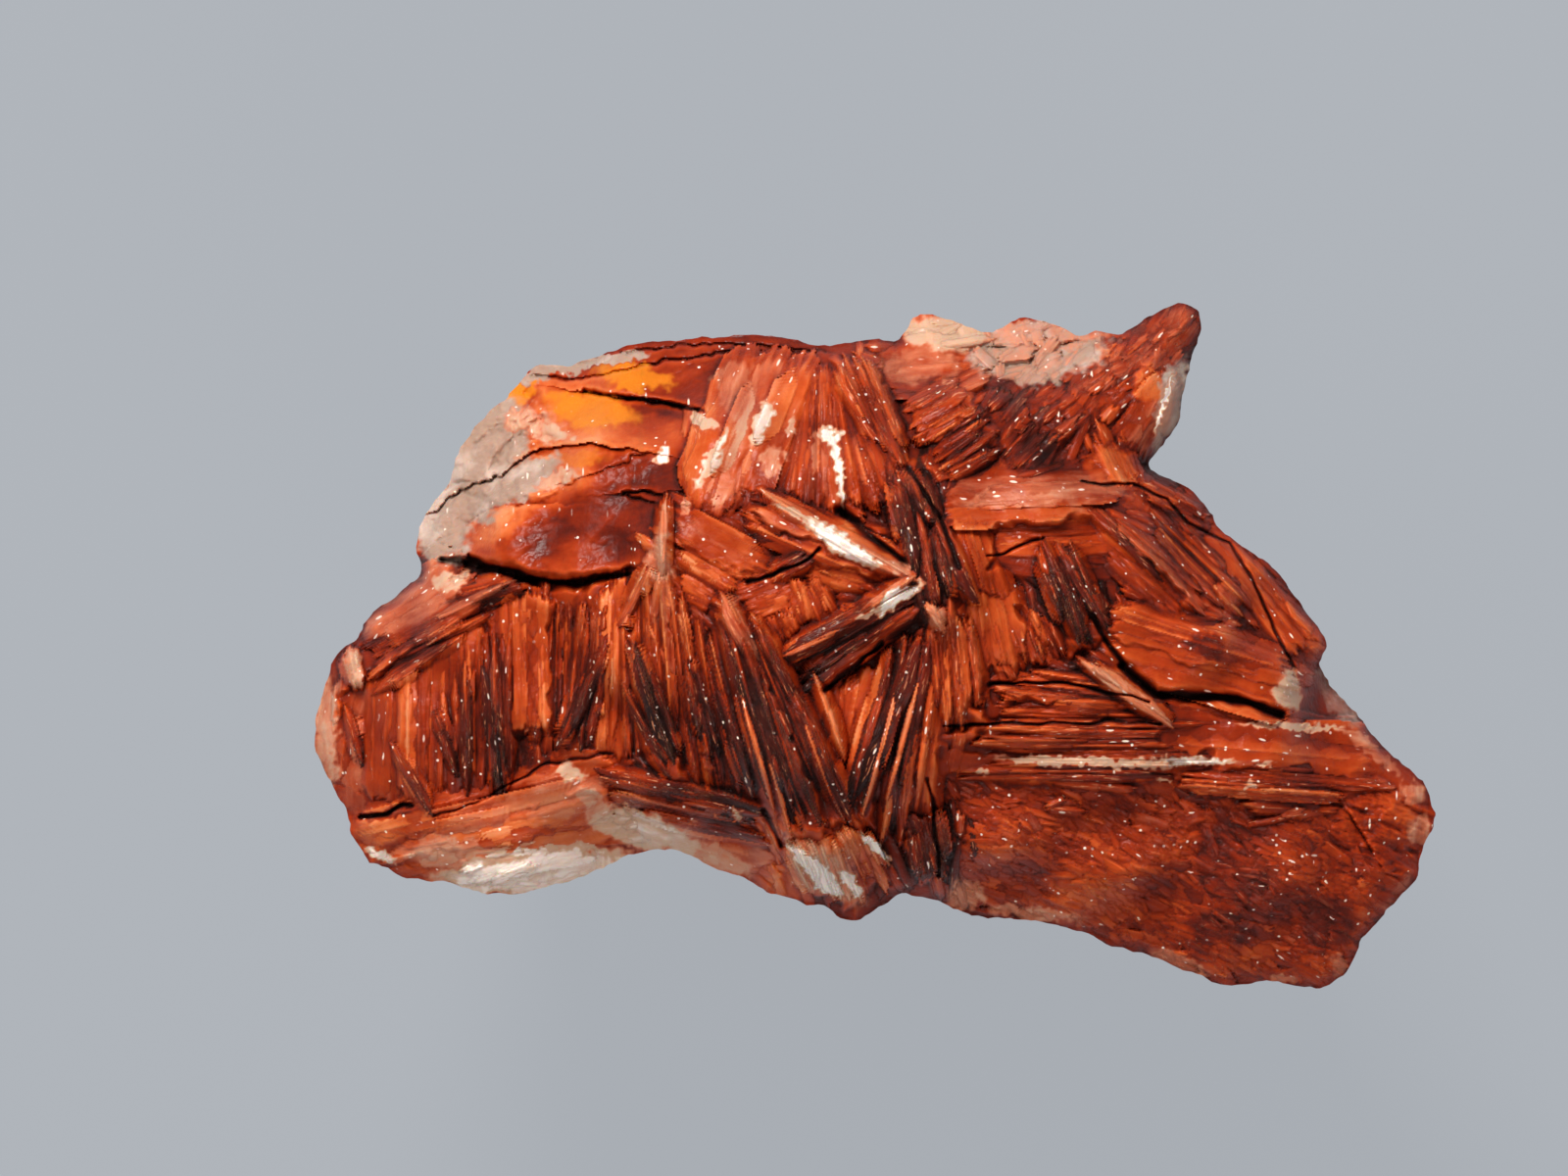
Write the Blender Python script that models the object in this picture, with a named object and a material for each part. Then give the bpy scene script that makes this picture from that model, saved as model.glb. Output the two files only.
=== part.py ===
"""Bladed barite: one mass of crystals that grew together, lying on a flat cut at its back.

+X is the specimen's length, +Y its height and +Z its depth, towards the bladed face. Places on that
face are given in millimetres from the middle of the outline, as they are seen from straight above.
"""
import math
import random

import bmesh
import bpy
import numpy as np
from mathutils import Vector, noise

MM = 0.001
NAME = "bladed_barite"

# Driving dimensions in millimetres
LENGTH = 44.45
HEIGHT = 27.1
DEPTH = 38.1
RIM_LEVEL = 26.6       # height of the widest outline above the cut
RIM_DROP = 2.6         # how far the face falls off at its rim
RIM_REACH = 1.5        # distance over which it falls
RELIEF_BLEND = 0.8     # square millimetres over which one height of the relief rounds into the next
GROUND_STEP = 1.5      # size of the ground's facets
GROUND_MARGIN = 2.0    # how far the ground is made past the outline before it is cut
GROUND_WANDER = 0.25   # how far its corners wander, against their spacing
GROUND_JITTER = 0.22   # how far they step up and down
RIM_SAG = 0.17         # share of its height that the widest edge sags in places
BREAK_SIZE = 5.0       # size of the broken facets on the sides
BREAK_DEPTH = 1.5      # how far they step in and out
BREAK_LEAST = 0.25     # least share of that depth
BREAK_CHANCE = 0.3     # share of it left to chance
BREAK_WANDER = 0.6     # how far the sides' corners wander up and down
BLADE_SINK = 3.2       # how deep a sheaf or a slab is rooted in the ground
BLADE_JITTER = 0.07    # keeps neighbouring sheaves from sharing a wall
BLADE_RIDGE = 0.42     # half the height of a blade's ridge, against the blades' spacing
TIP_RIDGE = 0.45       # share of that height left at the tips
SHORTEST_BLADE = 0.84  # length of the shortest blade of a sheaf, against the longest
STATIONS = (0.0, 0.55, 1.0)     # sections of a sheaf from roots to tips
LUMP_SINK = 0.45       # how deep a blocky crystal sits, against its size
FLOOR = -1.0           # where the ground's walls end, below the cut
FACES_KEPT = 0.68      # share of the joined faces left once slivers are collapsed
SEED = 11

# The outline of the face, anticlockwise from the left end
OUTLINE = [
    (-22.15, -3.8), (-21.6, -5.1), (-20.7, -6.7), (-20.75, -7.45), (-19.9, -8.75), (-18.6, -9.2),
    (-16.4, -9.5), (-15.4, -9.8), (-12.9, -9.5), (-10.5, -8.6), (-8.3, -8.0), (-6.0, -8.9),
    (-3.5, -9.85), (-2.1, -10.2), (-0.75, -10.9), (0.9, -9.8), (2.6, -10.05), (4.5, -10.75),
    (6.0, -10.8), (8.2, -11.3), (10.1, -12.0), (12.4, -12.85), (13.7, -13.5), (15.6, -13.2),
    (16.9, -13.5), (17.8, -13.55), (18.8, -12.4), (19.2, -11.5), (21.5, -9.1), (21.6, -7.9),
    (22.3, -6.6), (21.2, -5.0), (19.4, -3.3), (17.9, -1.6), (17.35, -0.75), (17.8, 0.0), (16.8, 1.5),
    (15.4, 3.3), (13.4, 4.6), (12.1, 6.3), (10.5, 7.05), (11.8, 8.6), (12.1, 10.2), (12.85, 12.3),
    (12.85, 13.0), (12.2, 13.55), (10.9, 13.0), (9.6, 12.2), (8.0, 12.15), (5.7, 12.95),
    (4.4, 12.2), (1.9, 13.1), (0.8, 11.9), (-2.1, 11.75), (-4.8, 12.2), (-8.9, 11.95),
    (-11.4, 11.1), (-13.4, 11.05), (-14.1, 10.1), (-16.2, 7.9), (-16.8, 6.2), (-17.8, 5.1),
    (-18.1, 3.7), (-17.85, 2.6), (-20.1, 1.0), (-21.5, -0.9),
]

# Sections of the sides: level, size against the outline, shift along X and Y, rounds of smoothing
FLANK_LEVELS = [
    (0.0, 0.67, 0.5, 0.2, 14),
    (3.4, 0.745, 0.8, 0.3, 12),
    (6.6, 0.77, 0.4, 0.1, 10),
    (9.8, 0.83, 0.5, -0.1, 9),
    (13.0, 0.845, 0.1, 0.2, 7),
    (16.4, 0.90, -0.1, 0.0, 5),
    (19.8, 0.935, 0.2, 0.1, 3),
    (23.2, 0.975, 0.0, -0.1, 1),
    (RIM_LEVEL, 1.0, 0.0, 0.0, 0),
    (29.0, 0.992, 0.0, 0.0, 0),
    (42.0, 0.94, 0.0, 0.0, 0),
]

# Heights of the face above the cut at places all over it
RELIEF = [
    (-19.5, 1.0, 30.0), (-21.0, -3.5, 29.3), (-16.0, 1.2, 32.0), (-17.5, -3.0, 30.9), (-15.0, -5.5, 30.2),
    (-19.5, -7.6, 29.4), (-15.5, -7.8, 30.6), (-11.8, -5.4, 31.0), (-11.0, -7.8, 29.4), (-13.0, -1.0, 31.8),
    (-17.0, 5.0, 30.0), (-15.0, 8.0, 30.2), (-12.5, 10.5, 29.8), (-13.5, 4.5, 33.2), (-10.0, 6.5, 34.2),
    (-9.0, 10.5, 31.2), (-10.5, 3.5, 34.0), (-5.0, 11.3, 31.4), (-5.8, 7.0, 35.0), (-5.5, 5.0, 35.8),
    (-8.4, 3.8, 36.0), (-9.4, -0.5, 34.6), (-11.4, -3.0, 32.4), (-8.0, -4.8, 33.4), (-8.0, -6.4, 31.9),
    (-6.5, -8.2, 29.8), (-5.4, 1.2, 36.2), (-3.6, -3.6, 35.6), (-2.0, -7.2, 33.6), (-0.6, -9.8, 31.0),
    (-1.8, 9.5, 32.8), (-1.6, 6.0, 35.2), (-1.0, 3.6, 36.6), (-3.2, 1.2, 36.0), (-1.2, -1.4, 35.0),
    (1.9, 2.2, 36.8), (0.6, -4.0, 35.2), (1.4, -8.4, 32.2), (1.6, 5.6, 36.0), (3.0, -1.6, 35.4),
    (2.2, 11.6, 30.6), (3.2, 8.4, 33.6), (6.4, 11.4, 30.4), (7.0, 8.2, 32.4), (10.2, 9.4, 31.6),
    (12.3, 12.9, 30.0), (6.0, 5.6, 35.0), (6.6, 2.2, 35.0), (9.8, 3.6, 34.0), (12.6, 4.4, 31.6),
    (12.4, 0.4, 33.2), (15.8, 0.8, 30.4), (15.0, -1.6, 31.8), (18.2, -2.6, 29.2), (7.4, -2.0, 34.4),
    (9.0, -4.0, 33.6), (14.5, -3.8, 32.2), (19.8, -5.2, 29.6), (4.4, -7.2, 33.0), (9.6, -8.0, 31.8),
    (14.8, -8.6, 30.8), (19.8, -8.4, 29.2), (16.6, -12.2, 29.0), (10.6, -11.0, 29.6), (4.6, -10.0, 29.8),
]

# Sheaves of blades: line of the roots, line of the tips, lift at roots and tips, number of blades.
# Each line runs from the same side of the sheaf to the other.
SHEAVES = [
    # left lobe: a comb of steep blades under a crest, and a smooth ledge below them
    ((-20.6, -1.4, -18.4, -0.3), (-21.2, -5.6, -18.6, -6.3), 0.2, 0.1, 4),
    ((-18.4, -0.3, -16.4, 1.0), (-18.6, -6.3, -16.4, -5.9), 0.5, 0.4, 4),
    ((-16.4, 1.0, -14.5, 2.3), (-16.4, -5.9, -14.1, -5.9), 0.7, 0.7, 5),
    ((-14.5, 2.3, -12.7, 2.2), (-14.1, -3.9, -12.6, -3.4), 0.4, 0.9, 3),
    ((-20.6, -1.6, -20.8, -0.2), (-14.4, 1.5, -15.2, 2.8), 0.5, 0.7, 3),
    ((-20.0, 0.2, -19.6, 1.3), (-16.0, 2.2, -16.9, 3.3), 0.9, 1.2, 2),
    ((-20.4, -6.9, -19.8, -8.4), (-10.6, -4.2, -10.8, -6.6), 0.5, 1.1, 4),
    ((-18.8, -8.4, -17.6, -9.0), (-9.8, -6.2, -8.9, -7.8), 0.2, 0.3, 3),
    # left fans, from the pale apex
    ((-12.4, 2.1, -10.4, 2.5), (-12.8, -4.2, -10.6, -4.3), 0.2, 0.5, 4),
    ((-10.4, 2.5, -9.2, 3.2), (-10.6, -4.3, -9.0, -5.0), 0.5, 0.7, 4),
    ((-9.2, 3.4, -8.1, 3.9), (-9.0, -5.0, -7.0, -5.4), 0.7, 0.9, 4),
    ((-8.1, 3.7, -6.4, 1.4), (-7.0, -5.4, -4.7, -6.0), 0.5, 0.7, 4),
    ((-9.9, 0.5, -9.2, 0.5), (-8.0, -5.3, -6.8, -5.5), 1.3, 1.4, 2),
    # the long dark sheaf in the middle and its tips
    ((-6.3, 1.7, -4.6, 0.8), (-3.8, -7.7, -0.9, -7.0), 1.4, 1.7, 6),
    ((-3.8, -7.4, -0.9, -6.7), (-2.2, -10.1, 0.7, -9.5), 1.0, 0.5, 5),
    # long lens blades lying across, and the knobbly rim below them
    ((-11.3, -4.9, -11.1, -5.7), (-4.4, -6.1, -4.1, -7.7), 0.9, 1.2, 3),
    ((-10.4, -6.3, -9.3, -7.6), (-3.9, -7.7, -3.5, -9.4), 0.2, 0.4, 2),
    # plates and blocks at the centre
    ((-7.8, 5.3, -7.9, 3.4), (-4.2, 3.5, -5.6, 2.0), 0.5, 0.7, 3),
    ((-5.6, 2.1, -5.0, 0.9), (-3.2, 3.0, -3.2, 1.6), 0.6, 0.7, 2),
    ((-3.4, 2.9, -2.4, 2.7), (-3.0, 0.6, -1.3, 0.8), 0.8, 0.5, 3),
    ((-4.7, 1.0, -3.4, 1.7), (-4.0, -0.4, -2.9, 0.4), 0.9, 0.5, 3),
    ((-4.7, 5.7, -5.2, 4.8), (2.1, 2.7, 1.5, 1.9), 1.2, 1.2, 2),
    ((-2.8, 3.5, -3.0, 2.7), (1.0, 2.7, 0.2, 1.8), 0.6, 0.5, 2),
    # blades that meet in a V, and the fan under it
    ((1.7, 2.9, 1.9, 1.5), (-3.9, -0.3, -2.7, -1.7), 1.0, 0.9, 4),
    ((0.5, 0.3, 2.0, 1.0), (-1.3, -6.8, 1.4, -7.5), 0.9, 1.2, 6),
    ((1.2, -6.2, 2.4, -6.0), (1.7, -9.3, 3.0, -9.2), 1.0, 0.9, 3),
    # the winding column right of the middle
    ((0.3, 7.6, 1.5, 7.2), (1.9, 2.5, 3.3, 2.7), 1.1, 1.0, 4),
    ((1.9, 2.7, 3.3, 2.9), (2.2, -3.1, 4.2, -2.9), 1.0, 1.1, 4),
    ((3.0, 5.0, 4.0, 4.9), (4.2, -0.8, 5.9, -0.5), 0.6, 0.8, 3),
    # upper middle: the smooth crest band and the orange fan beside it
    ((-5.0, 11.4, -2.5, 10.9), (-7.2, 5.5, -4.7, 5.3), 0.7, 0.9, 3),
    ((-2.6, 10.9, -1.2, 10.8), (-3.4, 5.6, 1.0, 5.5), 0.4, 1.0, 5),
    ((-2.0, 11.3, -0.2, 11.4), (0.4, 6.9, 1.6, 6.7), 0.9, 1.3, 3),
    # the big smooth mass at the upper left, in three thick beds
    ((-17.6, 3.2, -17.4, 5.2), (-7.6, 3.0, -7.0, 6.8), 0.3, 0.2, 3),
    ((-16.9, 5.6, -15.3, 8.8), (-7.4, 6.6, -7.6, 9.6), 0.4, 0.4, 3),
    ((-14.6, 8.8, -13.2, 10.8), (-5.2, 9.4, -4.9, 11.8), 0.5, 0.3, 3),
    # right: overlapping slabs that run down to the right
    ((2.5, 6.1, 2.7, 4.9), (10.4, 6.5, 8.3, 5.5), 0.9, 0.7, 3),
    ((4.2, 4.8, 4.3, 3.0), (9.2, 5.4, 9.4, 2.6), 0.4, 0.3, 3),
    ((6.0, 4.2, 7.2, 4.3), (7.9, -0.4, 9.4, 0.2), 1.0, 1.1, 3),
    ((8.4, 5.7, 8.9, 4.1), (12.9, 2.6, 11.9, 0.9), 0.6, 0.7, 4),
    ((10.6, 6.2, 10.6, 4.8), (15.4, 1.9, 13.6, 0.9), 0.4, 0.4, 3),
    ((8.8, 1.8, 9.2, -0.7), (16.0, -0.9, 15.8, -2.3), 0.9, 1.0, 3),
    ((13.2, 4.9, 12.6, 4.2), (17.5, -0.1, 16.2, -0.7), 0.3, 0.4, 2),
    ((7.9, -0.4, 7.8, -1.1), (11.7, -2.8, 11.4, -3.4), 1.5, 1.6, 1),
    # level bundles across the right
    ((4.2, -0.8, 3.9, -2.9), (10.9, -1.7, 11.4, -3.1), 0.4, 0.4, 4),
    ((2.1, -3.0, 2.2, -4.4), (17.2, -2.7, 17.4, -4.0), 0.9, 0.7, 3),
    ((1.9, -4.2, 2.4, -5.4), (20.4, -4.9, 18.6, -5.7), 0.4, 0.4, 3),
    # lower right: a massive face of low scales
    ((3.0, -5.5, 3.3, -8.4), (9.6, -6.0, 9.2, -10.2), 0.3, 0.3, 4),
    ((9.2, -5.6, 9.0, -8.4), (15.4, -6.2, 15.0, -9.4), 0.2, 0.4, 4),
    ((9.2, -8.4, 8.6, -10.8), (15.4, -9.2, 14.4, -12.6), 0.2, 0.4, 4),
    ((15.0, -5.6, 14.8, -8.8), (21.0, -6.9, 20.4, -9.2), 0.2, 0.3, 4),
    ((14.6, -8.8, 14.2, -12.6), (20.0, -9.6, 17.8, -13.0), 0.3, 0.2, 4),
    # upper right: a dark bundle, rough ground and the horn
    ((0.6, 9.2, 2.3, 6.1), (3.2, 10.6, 5.2, 7.6), 0.6, 0.8, 4),
    ((5.0, 9.9, 4.8, 6.8), (8.8, 8.8, 8.9, 6.4), 0.3, 0.5, 3),
    ((6.2, 10.6, 8.8, 7.6), (12.4, 13.2, 12.0, 10.2), 0.6, 0.6, 4),
    ((9.0, 7.4, 10.3, 7.2), (11.6, 10.6, 11.9, 9.8), 0.8, 0.9, 2),
]

# Blocky crystals and knobs: place, size, lift
LUMPS = [
    (1.6, 12.2, 0.8, 0.3), (2.9, 11.9, 0.9, 0.4), (1.2, 11.0, 1.0, 0.2), (5.8, 12.1, 0.8, 0.4),
    (4.9, 10.9, 1.2, 0.3), (7.6, 11.4, 1.1, 0.3), (-20.4, -0.9, 0.6, 0.7), (-8.5, 3.9, 0.5, 1.1),
    (16.3, -1.6, 0.7, 0.8), (18.2, -2.5, 0.8, 0.1), (-11.6, -4.8, 0.6, 0.9), (-3.3, -9.2, 0.7, 0.3),
    (5.4, -10.1, 0.9, 0.2), (12.2, -12.1, 0.9, 0.1), (-16.9, 4.2, 0.9, 0.3), (21.0, -6.4, 0.6, 0.5),
]


def rim_distance(x, y):
    """Distance in from the outline in millimetres, zero outside it."""
    point = np.array((x, y))
    ends = np.array(OUTLINE)
    starts = np.roll(ends, 1, axis=0)
    run = ends - starts
    along = np.clip(((point - starts) * run).sum(1) / (run * run).sum(1), 0.0, 1.0)
    nearest = np.hypot(*(starts + run * along[:, None] - point).T).min()
    crosses = (starts[:, 1] > y) != (ends[:, 1] > y)
    rise = np.where(run[:, 1] == 0.0, 1.0, run[:, 1])
    inside = (crosses & (x < starts[:, 0] + run[:, 0] * (y - starts[:, 1]) / rise)).sum() % 2
    return float(nearest) if inside else 0.0


def ground(x, y):
    """Height of the face: the relief's places blended by closeness, falling off at the rim."""
    places = np.array(RELIEF)
    weight = 1.0 / ((places[:, 0] - x) ** 2 + (places[:, 1] - y) ** 2 + RELIEF_BLEND) ** 2
    height = float((weight * places[:, 2]).sum() / weight.sum())
    return height - RIM_DROP * math.exp(-rim_distance(x, y) / RIM_REACH)


def new_object(name, bm, collection):
    """An object from a bmesh in millimetres, its faces turned outwards."""
    bmesh.ops.recalc_face_normals(bm, faces=bm.faces)
    mesh = bpy.data.meshes.new(name)
    bm.to_mesh(mesh)
    bm.free()
    made = bpy.data.objects.new(name, mesh)
    collection.objects.link(made)
    return made


def smoothed(points, rounds):
    """A closed outline with its corners worn off."""
    points = np.array(points)
    for _ in range(rounds):
        points = (np.roll(points, 1, axis=0) + 2 * points + np.roll(points, -1, axis=0)) / 4
    return points


def rim_sag(x, y):
    """Share by which the sides are lower in this direction."""
    angle = math.atan2(2 * y, x)
    return RIM_SAG * (0.5 + 0.5 * math.sin(3 * angle + 0.6) * math.cos(2 * angle))


def make_flanks(collection, rng):
    """The sides of the stone: a loft from the flat cut, out to the rim and past the face."""
    bm = bmesh.new()
    rings = []
    for level, size, shift_x, shift_y, rounds in FLANK_LEVELS:
        broken = 0.0 < level < RIM_LEVEL
        ring = []
        for x, y in smoothed(OUTLINE, rounds) * size + (shift_x, shift_y):
            z = level * (1 - rim_sag(x, y)) if level <= RIM_LEVEL else level
            if broken:
                crack = abs(noise.noise(Vector((x, y, 1.6 * z)) / BREAK_SIZE))
                depth = BREAK_DEPTH * (BREAK_LEAST + crack + BREAK_CHANCE * rng.random())
                push = 1 - depth / math.hypot(x, y)
                x, y, z = x * push, y * push, z + rng.uniform(-BREAK_WANDER, BREAK_WANDER)
            ring.append(bm.verts.new((x, y, z)))
        rings.append(ring)
    count = len(OUTLINE)
    for lower, upper in zip(rings, rings[1:]):
        for i in range(count):
            j = (i + 1) % count
            bm.faces.new((lower[i], lower[j], upper[j], upper[i]))
    bm.faces.new(rings[0])
    bm.faces.new(rings[-1])
    bmesh.ops.triangulate(bm, faces=bm.faces)
    return new_object("flanks", bm, collection)


def extrude_down(bm, floor):
    """Close an open top surface with walls down to a level floor."""
    made = bmesh.ops.extrude_face_region(bm, geom=bm.faces[:], use_keep_orig=True)
    for item in made["geom"]:
        if isinstance(item, bmesh.types.BMVert):
            item.co.z = floor


def make_ground(collection, rng):
    """The face as broken facets over the whole outline, closed below."""
    bm = bmesh.new()
    half_x = LENGTH / 2 + GROUND_MARGIN
    half_y = HEIGHT / 2 + GROUND_MARGIN
    wander = GROUND_WANDER * GROUND_STEP
    bmesh.ops.create_grid(bm, x_segments=round(2 * half_x / GROUND_STEP),
                          y_segments=round(2 * half_y / GROUND_STEP), size=1.0)
    for vert in bm.verts:
        x = vert.co.x * half_x + rng.uniform(-wander, wander)
        y = vert.co.y * half_y + rng.uniform(-wander, wander)
        vert.co = Vector((x, y, ground(x, y) + rng.uniform(-GROUND_JITTER, GROUND_JITTER)))
    extrude_down(bm, FLOOR)
    bmesh.ops.triangulate(bm, faces=bm.faces)
    return new_object("ground", bm, collection)


def make_sheaf(root, tip, lift_root, lift_tip, blades, collection, rng):
    """Blades side by side: a grid folded into ridges, with tips of uneven length."""
    bm = bmesh.new()
    columns = 2 * blades
    rows = len(STATIONS) - 1
    bmesh.ops.create_grid(bm, x_segments=columns, y_segments=rows, size=1.0)
    root_a, root_b = Vector(root[:2]), Vector(root[2:])
    tip_a, tip_b = Vector(tip[:2]), Vector(tip[2:])
    spacing = ((root_b - root_a).length + (tip_b - tip_a).length) / 2 / blades
    reach = [rng.uniform(SHORTEST_BLADE, 1.0) for _ in range(columns + 1)]
    crest = [rng.uniform(0.8, 1.2) * BLADE_RIDGE * spacing for _ in range(columns + 1)]
    for vert in bm.verts:
        column = round((vert.co.x + 1.0) / 2.0 * columns)
        station = round((vert.co.y + 1.0) / 2.0 * rows)
        across = column / columns
        along = STATIONS[station] * (reach[column] if station else 1.0)
        place = root_a.lerp(root_b, across).lerp(tip_a.lerp(tip_b, across), along)
        ridge = crest[column] * (1.0 if column % 2 else -1.0) * (TIP_RIDGE if station == rows else 1.0)
        lift = lift_root + (lift_tip - lift_root) * along
        place.x += rng.uniform(-BLADE_JITTER, BLADE_JITTER)
        place.y += rng.uniform(-BLADE_JITTER, BLADE_JITTER)
        vert.co = Vector((place.x, place.y, ground(place.x, place.y) + lift + ridge))
    extrude_down(bm, min(vert.co.z for vert in bm.verts) - BLADE_SINK)
    bmesh.ops.triangulate(bm, faces=bm.faces)
    return new_object("sheaf", bm, collection)


def make_lump(x, y, size, lift, collection, rng):
    """A blocky crystal: a twenty-sided lump with uneven corners."""
    bm = bmesh.new()
    bmesh.ops.create_icosphere(bm, subdivisions=1, radius=size)
    for vert in bm.verts:
        vert.co *= rng.uniform(0.8, 1.15)
    centre = Vector((x, y, ground(x, y) + lift - LUMP_SINK * size))
    bmesh.ops.translate(bm, verts=bm.verts, vec=centre)
    return new_object("lump", bm, collection)


def apply_modifiers(target):
    """Give the target the mesh that its modifiers make."""
    graph = bpy.context.evaluated_depsgraph_get()
    mesh = bpy.data.meshes.new_from_object(target.evaluated_get(graph))
    target.modifiers.clear()
    target.data = mesh


def join(target, operation, **operand):
    """Apply an exact Boolean to the target."""
    modifier = target.modifiers.new("join", "BOOLEAN")
    modifier.solver = "EXACT"
    modifier.operation = operation
    for key, value in operand.items():
        setattr(modifier, key, value)
    apply_modifiers(target)


def fit_to_size(target):
    """Scale the finished stone to its measured size and centre it over its cut."""
    corners = np.array([vert.co[:] for vert in target.data.vertices])
    low, high = corners.min(0), corners.max(0)
    size = np.array((LENGTH, HEIGHT, DEPTH))
    middle = np.array(((low[0] + high[0]) / 2, (low[1] + high[1]) / 2, low[2]))
    for vert in target.data.vertices:
        vert.co = Vector((np.array(vert.co) - middle) / (high - low) * size * MM)


def connected(start):
    """All vertices that edges join to the start."""
    found = {start}
    waiting = [start]
    while waiting:
        for edge in waiting.pop().link_edges:
            for vert in edge.verts:
                if vert not in found:
                    found.add(vert)
                    waiting.append(vert)
    return found


def thin_out(target):
    """Drop loose scraps, and collapse the slivers that the joins leave."""
    bm = bmesh.new()
    bm.from_mesh(target.data)
    stone = connected(min(bm.verts, key=lambda vert: vert.co.z))
    bmesh.ops.delete(bm, geom=[vert for vert in bm.verts if vert not in stone], context="VERTS")
    bmesh.ops.triangulate(bm, faces=bm.faces)
    bm.to_mesh(target.data)
    bm.free()
    modifier = target.modifiers.new("thin_out", "DECIMATE")
    modifier.ratio = FACES_KEPT
    apply_modifiers(target)


def stone_material():
    """Waxy, translucent red-orange barite."""
    material = bpy.data.materials.new("barite")
    material.use_nodes = True
    shader = material.node_tree.nodes["Principled BSDF"]
    shader.inputs["Base Color"].default_value = (0.38, 0.045, 0.012, 1.0)
    shader.inputs["Roughness"].default_value = 0.35
    shader.inputs["Metallic"].default_value = 0.0
    return material


def main():
    for old in list(bpy.data.objects):
        bpy.data.objects.remove(old, do_unlink=True)
    rng = random.Random(SEED)
    parts = bpy.data.collections.new(NAME)
    grown = bpy.data.collections.new("grown_parts")
    shapers = bpy.data.collections.new("shapers")
    for collection in (parts, grown, shapers):
        bpy.context.scene.collection.children.link(collection)
    stone = make_ground(parts, rng)
    flanks = make_flanks(shapers, rng)
    for root, tip, lift_root, lift_tip, blades in SHEAVES:
        make_sheaf(root, tip, lift_root, lift_tip, blades, grown, rng)
    for x, y, size, lift in LUMPS:
        make_lump(x, y, size, lift, grown, rng)
    join(stone, "UNION", operand_type="COLLECTION", collection=grown)
    join(stone, "INTERSECT", operand_type="OBJECT", object=flanks)
    thin_out(stone)
    fit_to_size(stone)
    for helper in list(grown.objects) + list(shapers.objects):
        bpy.data.objects.remove(helper, do_unlink=True)
    stone.name = NAME
    stone.data.name = NAME
    stone.data.materials.clear()
    stone.data.materials.append(stone_material())


main()
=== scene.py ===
"""The looks of a bladed barite: fans and sheaves of thin blades on a massive, rough ground.

Shapes are worked out in millimetres. x and y are measured from the middle of the outline, as the
face is seen from straight above, and z is the height above the flat cut that the stone rests on.
"""

import bpy
import numpy as np
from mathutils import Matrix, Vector


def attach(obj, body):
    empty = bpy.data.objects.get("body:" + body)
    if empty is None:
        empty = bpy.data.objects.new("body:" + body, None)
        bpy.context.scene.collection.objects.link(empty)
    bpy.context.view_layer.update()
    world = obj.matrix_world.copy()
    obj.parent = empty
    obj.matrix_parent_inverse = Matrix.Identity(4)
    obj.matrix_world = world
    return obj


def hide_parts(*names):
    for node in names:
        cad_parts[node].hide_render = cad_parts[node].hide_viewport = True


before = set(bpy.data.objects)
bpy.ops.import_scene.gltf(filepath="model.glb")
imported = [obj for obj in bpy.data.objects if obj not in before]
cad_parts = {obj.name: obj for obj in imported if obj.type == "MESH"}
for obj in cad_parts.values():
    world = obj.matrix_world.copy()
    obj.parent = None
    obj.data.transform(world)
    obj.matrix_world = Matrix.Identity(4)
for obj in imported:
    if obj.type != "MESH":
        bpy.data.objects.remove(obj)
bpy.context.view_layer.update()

NODE = "bladed_barite"
MM = 0.001
MIDDLE_X = 0.075             # the outline's own middle, which the frame puts at zero
SEED = 5

# The face, in millimetres unless a comment says otherwise
FACE_STEP = 0.05             # spacing of the face's grid
FACE_PIECES = 4              # meshes that the face is handed out as
GRID_LOW = (-22.9, -14.3)    # corners of the face's grid
GRID_HIGH = (22.95, 14.35)
GROUND_TONE = 0.45           # tone of the ground before anything lies on it
GROUND_LINES = 0.2           # how strongly the ground is lined
WALL = 2.6                   # how steeply a plate's sides fall
UNDERGROWTH = 1500           # small blades tried between the sheaves
GRIT = 0.012                 # height of the fine unevenness over the whole face
BODY_DEPTH = 0.30            # how far the blades of a sheaf stand above its joined mass
EDGE_SHARE = 0.15            # share of the fine laminae whose thin edge catches the light
BLADE_LIFT = 0.88            # height of the single blades against the table
SHEAF_PALE = 0.6             # paleness of the blades against the table
SKIRT = 0.5                  # how far the face's border is turned down
GAP_SHADE_TONE = 0.04              # tone of the painted shade in the gaps
BRIGHT_TONE = 0.8            # tone that a bright patch leads to
DARK_TONE = 0.08             # tone that a dark patch leads to

# The rim and the sides
RIM_POINTS = 600             # points of the uneven outline
RIM_DROP = 2.6               # how far the face falls off at its rim
RIM_REACH = 1.5              # distance over which it falls
RIM_STEADY = 0.4             # how near the rim the relief starts to die out
RIM_RELIEF = 0.35            # share of the relief that is left at the rim
RIM_LEVEL = 26.6             # height up to which the sides are cut in sections
FLANK_COLUMNS = 520          # mesh columns around the sides
FLANK_ROWS = 100             # mesh rows up the sides
LIP_ROWS = 8                 # mesh rows from the uppermost section to the rim
GIRTH = 135.0                # length around the sides

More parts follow.
